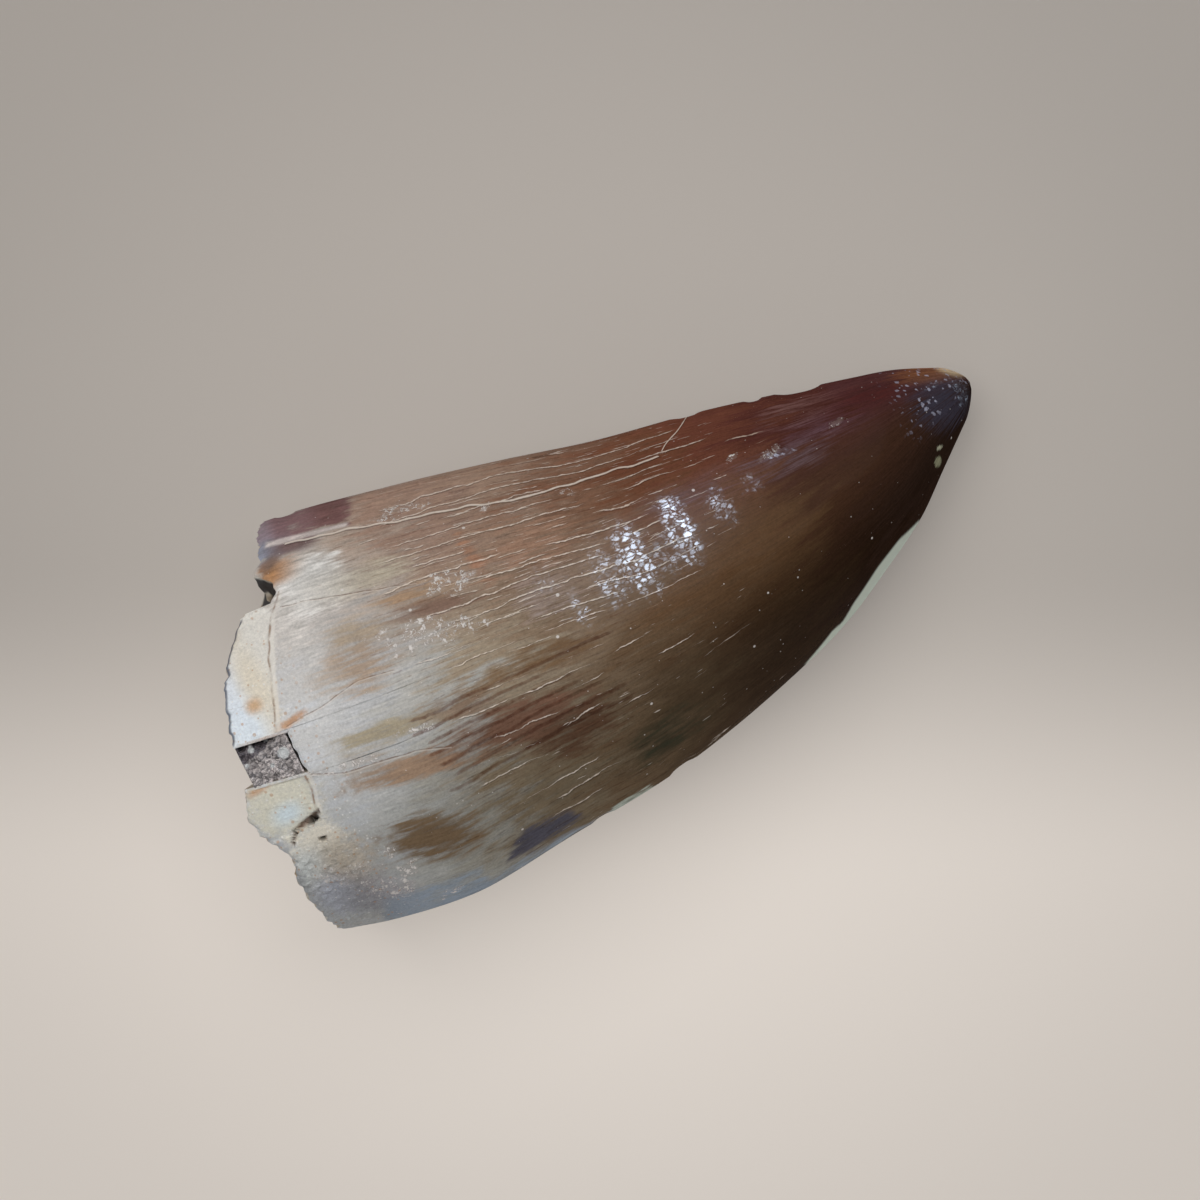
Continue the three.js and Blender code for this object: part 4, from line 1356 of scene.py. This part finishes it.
def picture_point(right, up, height):
    """A place in metres, from its distances right of and above the picture's middle and its height."""
    x = PICTURE_MIDDLE[0] * MM + PICTURE_RIGHT[0] * right + PICTURE_UP[0] * up
    y = PICTURE_MIDDLE[1] * MM + PICTURE_RIGHT[1] * right + PICTURE_UP[1] * up
    return Vector((x, y, height))


def crown_at(station, y):
    """Point of the crown's upward face at a station and a y, in millimetres, in the shared frame."""
    middle, half_width, _ = section_at(station)
    angle = np.degrees(np.arccos(np.clip((y - middle) / half_width, -1, 1)))
    return Vector(section_point(station, angle, 0) + TO_MIDDLE)


def mirrored(station, y):
    """Where a pane stands that the crown, at a station and a y, mirrors to a viewer straight above."""
    station, step = float(station), 0.5
    here = crown_at(station, y)
    lengthways = crown_at(station + step, y) - crown_at(station - step, y)
    sideways = crown_at(station, y + step) - crown_at(station, y - step)
    normal = lengthways.cross(sideways).normalized()
    return here + (2 * normal.z * normal - Vector((0, 0, 1))) * WINDOW_DISTANCE


def add_lamp(name, matrix, size, radiance, colour):
    """A rectangular lamp. Its power is its radiance times its area times pi."""
    light = bpy.data.lights.new(name, "AREA")
    light.shape = "RECTANGLE"
    light.size, light.size_y = size
    light.energy = radiance * size[0] * size[1] * math.pi
    light.color = colour
    lamp = bpy.data.objects.new(name, light)
    lamp.matrix_world = matrix
    bpy.context.scene.collection.objects.link(lamp)
    return lamp


def add_window_pane(station, half_length, low, high, radiance):
    """A pane that is only seen mirrored in the gloss, between two stations and two distances across."""
    corners = [mirrored(station + s * half_length, y) for s in (-1, 1) for y in (low, high)]
    middle = sum(corners, Vector()) / 4
    tall = (corners[1] + corners[3] - corners[0] - corners[2]) / 2
    wide = (corners[2] + corners[3] - corners[0] - corners[1]) / 2
    wide -= tall * wide.dot(tall) / tall.length_squared
    outwards = (middle - crown_at(float(station), (low + high) / 2)).normalized()
    across = tall.cross(outwards).normalized()
    up = outwards.cross(across)
    turn = Matrix((across, up, outwards)).transposed().to_4x4()
    matrix = Matrix.Translation(middle * MM) @ turn
    size = (max(wide.length, 1) * MM, tall.length * MM)
    pane = add_lamp("window_pane", matrix, size, radiance, WINDOW_COLOUR)
    pane.visible_diffuse = False
    pane.visible_camera = False


def add_soft_light(name, right, up, height, side, radiance, colour):
    """A large square lamp above the picture, turned to the tooth, that the gloss doesn't mirror."""
    at = picture_point(right, up, height)
    turn = (at - Vector((0, 0, 0.01))).to_track_quat("Z", "Y").to_matrix().to_4x4()
    lamp = add_lamp(name, Matrix.Translation(at) @ turn, (side, side), radiance, colour)
    lamp.visible_glossy = False


def build_stage(stage):
    """Floor, soft lights, window panes that glint on the enamel, and the camera that looks straight down."""
    scene = bpy.context.scene
    half = FLOOR_HALF
    floor = bpy.data.meshes.new("floor")
    corners = [(-half, -half, 0), (half, -half, 0), (half, half, 0), (-half, half, 0)]
    floor.from_pydata(corners, [], [(0, 1, 2, 3)])
    floor.materials.append(floor_material(stage))
    floor_object = bpy.data.objects.new("floor", floor)
    floor_object.visible_glossy = False
    scene.collection.objects.link(floor_object)

    for name, right, up, height, side, setting, colour in SOFT_LIGHTS:
        add_soft_light(name, right, up, height, side, getattr(stage, setting), colour)
    for pane in WINDOW_PANES:
        add_window_pane(*pane[:4], pane[4] * stage.window_light)
    world = bpy.data.worlds.new("pale_room")
    world.use_nodes = True
    background = world.node_tree.nodes["Background"]
    background.inputs[0].default_value = ROOM_COLOUR
    background.inputs[1].default_value = stage.room_light
    scene.world = world

    camera = bpy.data.cameras.new("camera")
    camera.lens = stage.lens
    camera.sensor_width = SENSOR
    camera.clip_start = NEAREST_SEEN
    distance = PICTURE_WIDTH * MM * stage.lens / SENSOR
    camera_object = bpy.data.objects.new("camera", camera)
    camera_object.location = Vector(PICTURE_MIDDLE) * MM + Vector((0, 0, distance))
    camera_object.rotation_euler = (0, 0, PICTURE_TURN)
    scene.collection.objects.link(camera_object)
    scene.camera = camera_object
    scene.view_settings.view_transform = "Standard"


class FOSSILTOOTH_OT_tooth(bpy.types.Operator):
    """Builds the crown with its broken rim and the wall of its hollow root"""

    bl_idname = "fossil_tooth.build_tooth"
    bl_label = "Tooth"

    def execute(self, context):
        build_tooth(context.scene.fossil_tooth_sizes, context.scene.fossil_tooth_colours)
        return {"FINISHED"}


class FOSSILTOOTH_OT_sediment(bpy.types.Operator):
    """Builds the sandy sediment in the hollow root"""

    bl_idname = "fossil_tooth.build_sediment"
    bl_label = "Sediment"

    def execute(self, context):
        build_sediment(context.scene.fossil_tooth_sizes, context.scene.fossil_tooth_colours)
        return {"FINISHED"}


class FOSSILTOOTH_OT_stage(bpy.types.Operator):
    """Sets the floor, the lights and the camera"""

    bl_idname = "fossil_tooth.build_stage"
    bl_label = "Stage"

    def execute(self, context):
        build_stage(context.scene.fossil_tooth_stage)
        return {"FINISHED"}


class FOSSILTOOTH_PT_panel(bpy.types.Panel):
    """Lists the sizes, the colours and the building steps"""

    bl_idname = "FOSSILTOOTH_PT_panel"
    bl_label = "Fossil tooth"
    bl_space_type = "VIEW_3D"
    bl_region_type = "UI"
    bl_category = "Fossil tooth"

    def draw(self, context):
        for name in GROUPS:
            group = getattr(context.scene, name)
            box = self.layout.box()
            for field in group.__annotations__:
                box.prop(group, field)
        for operator in OPERATORS:
            self.layout.operator(operator.bl_idname)


GROUPS = {
    "fossil_tooth_sizes": FossilToothSizes,
    "fossil_tooth_colours": FossilToothColours,
    "fossil_tooth_stage": FossilToothStage,
}
OPERATORS = (FOSSILTOOTH_OT_tooth, FOSSILTOOTH_OT_sediment, FOSSILTOOTH_OT_stage)
CLASSES = (*GROUPS.values(), *OPERATORS, FOSSILTOOTH_PT_panel)


def register():
    """Registers the classes and puts their settings on the scene."""
    for kind in CLASSES:
        bpy.utils.register_class(kind)
    for name, group in GROUPS.items():
        setattr(bpy.types.Scene, name, PointerProperty(type=group))


def unregister():
    """Takes the settings and the classes away again."""
    for name in GROUPS:
        delattr(bpy.types.Scene, name)
    for kind in reversed(CLASSES):
        bpy.utils.unregister_class(kind)


def main():
    """Builds the pieces and the stage."""
    register()
    bpy.ops.fossil_tooth.build_tooth()
    bpy.ops.fossil_tooth.build_sediment()
    bpy.ops.fossil_tooth.build_stage()


if __name__ == "__main__":
    main()
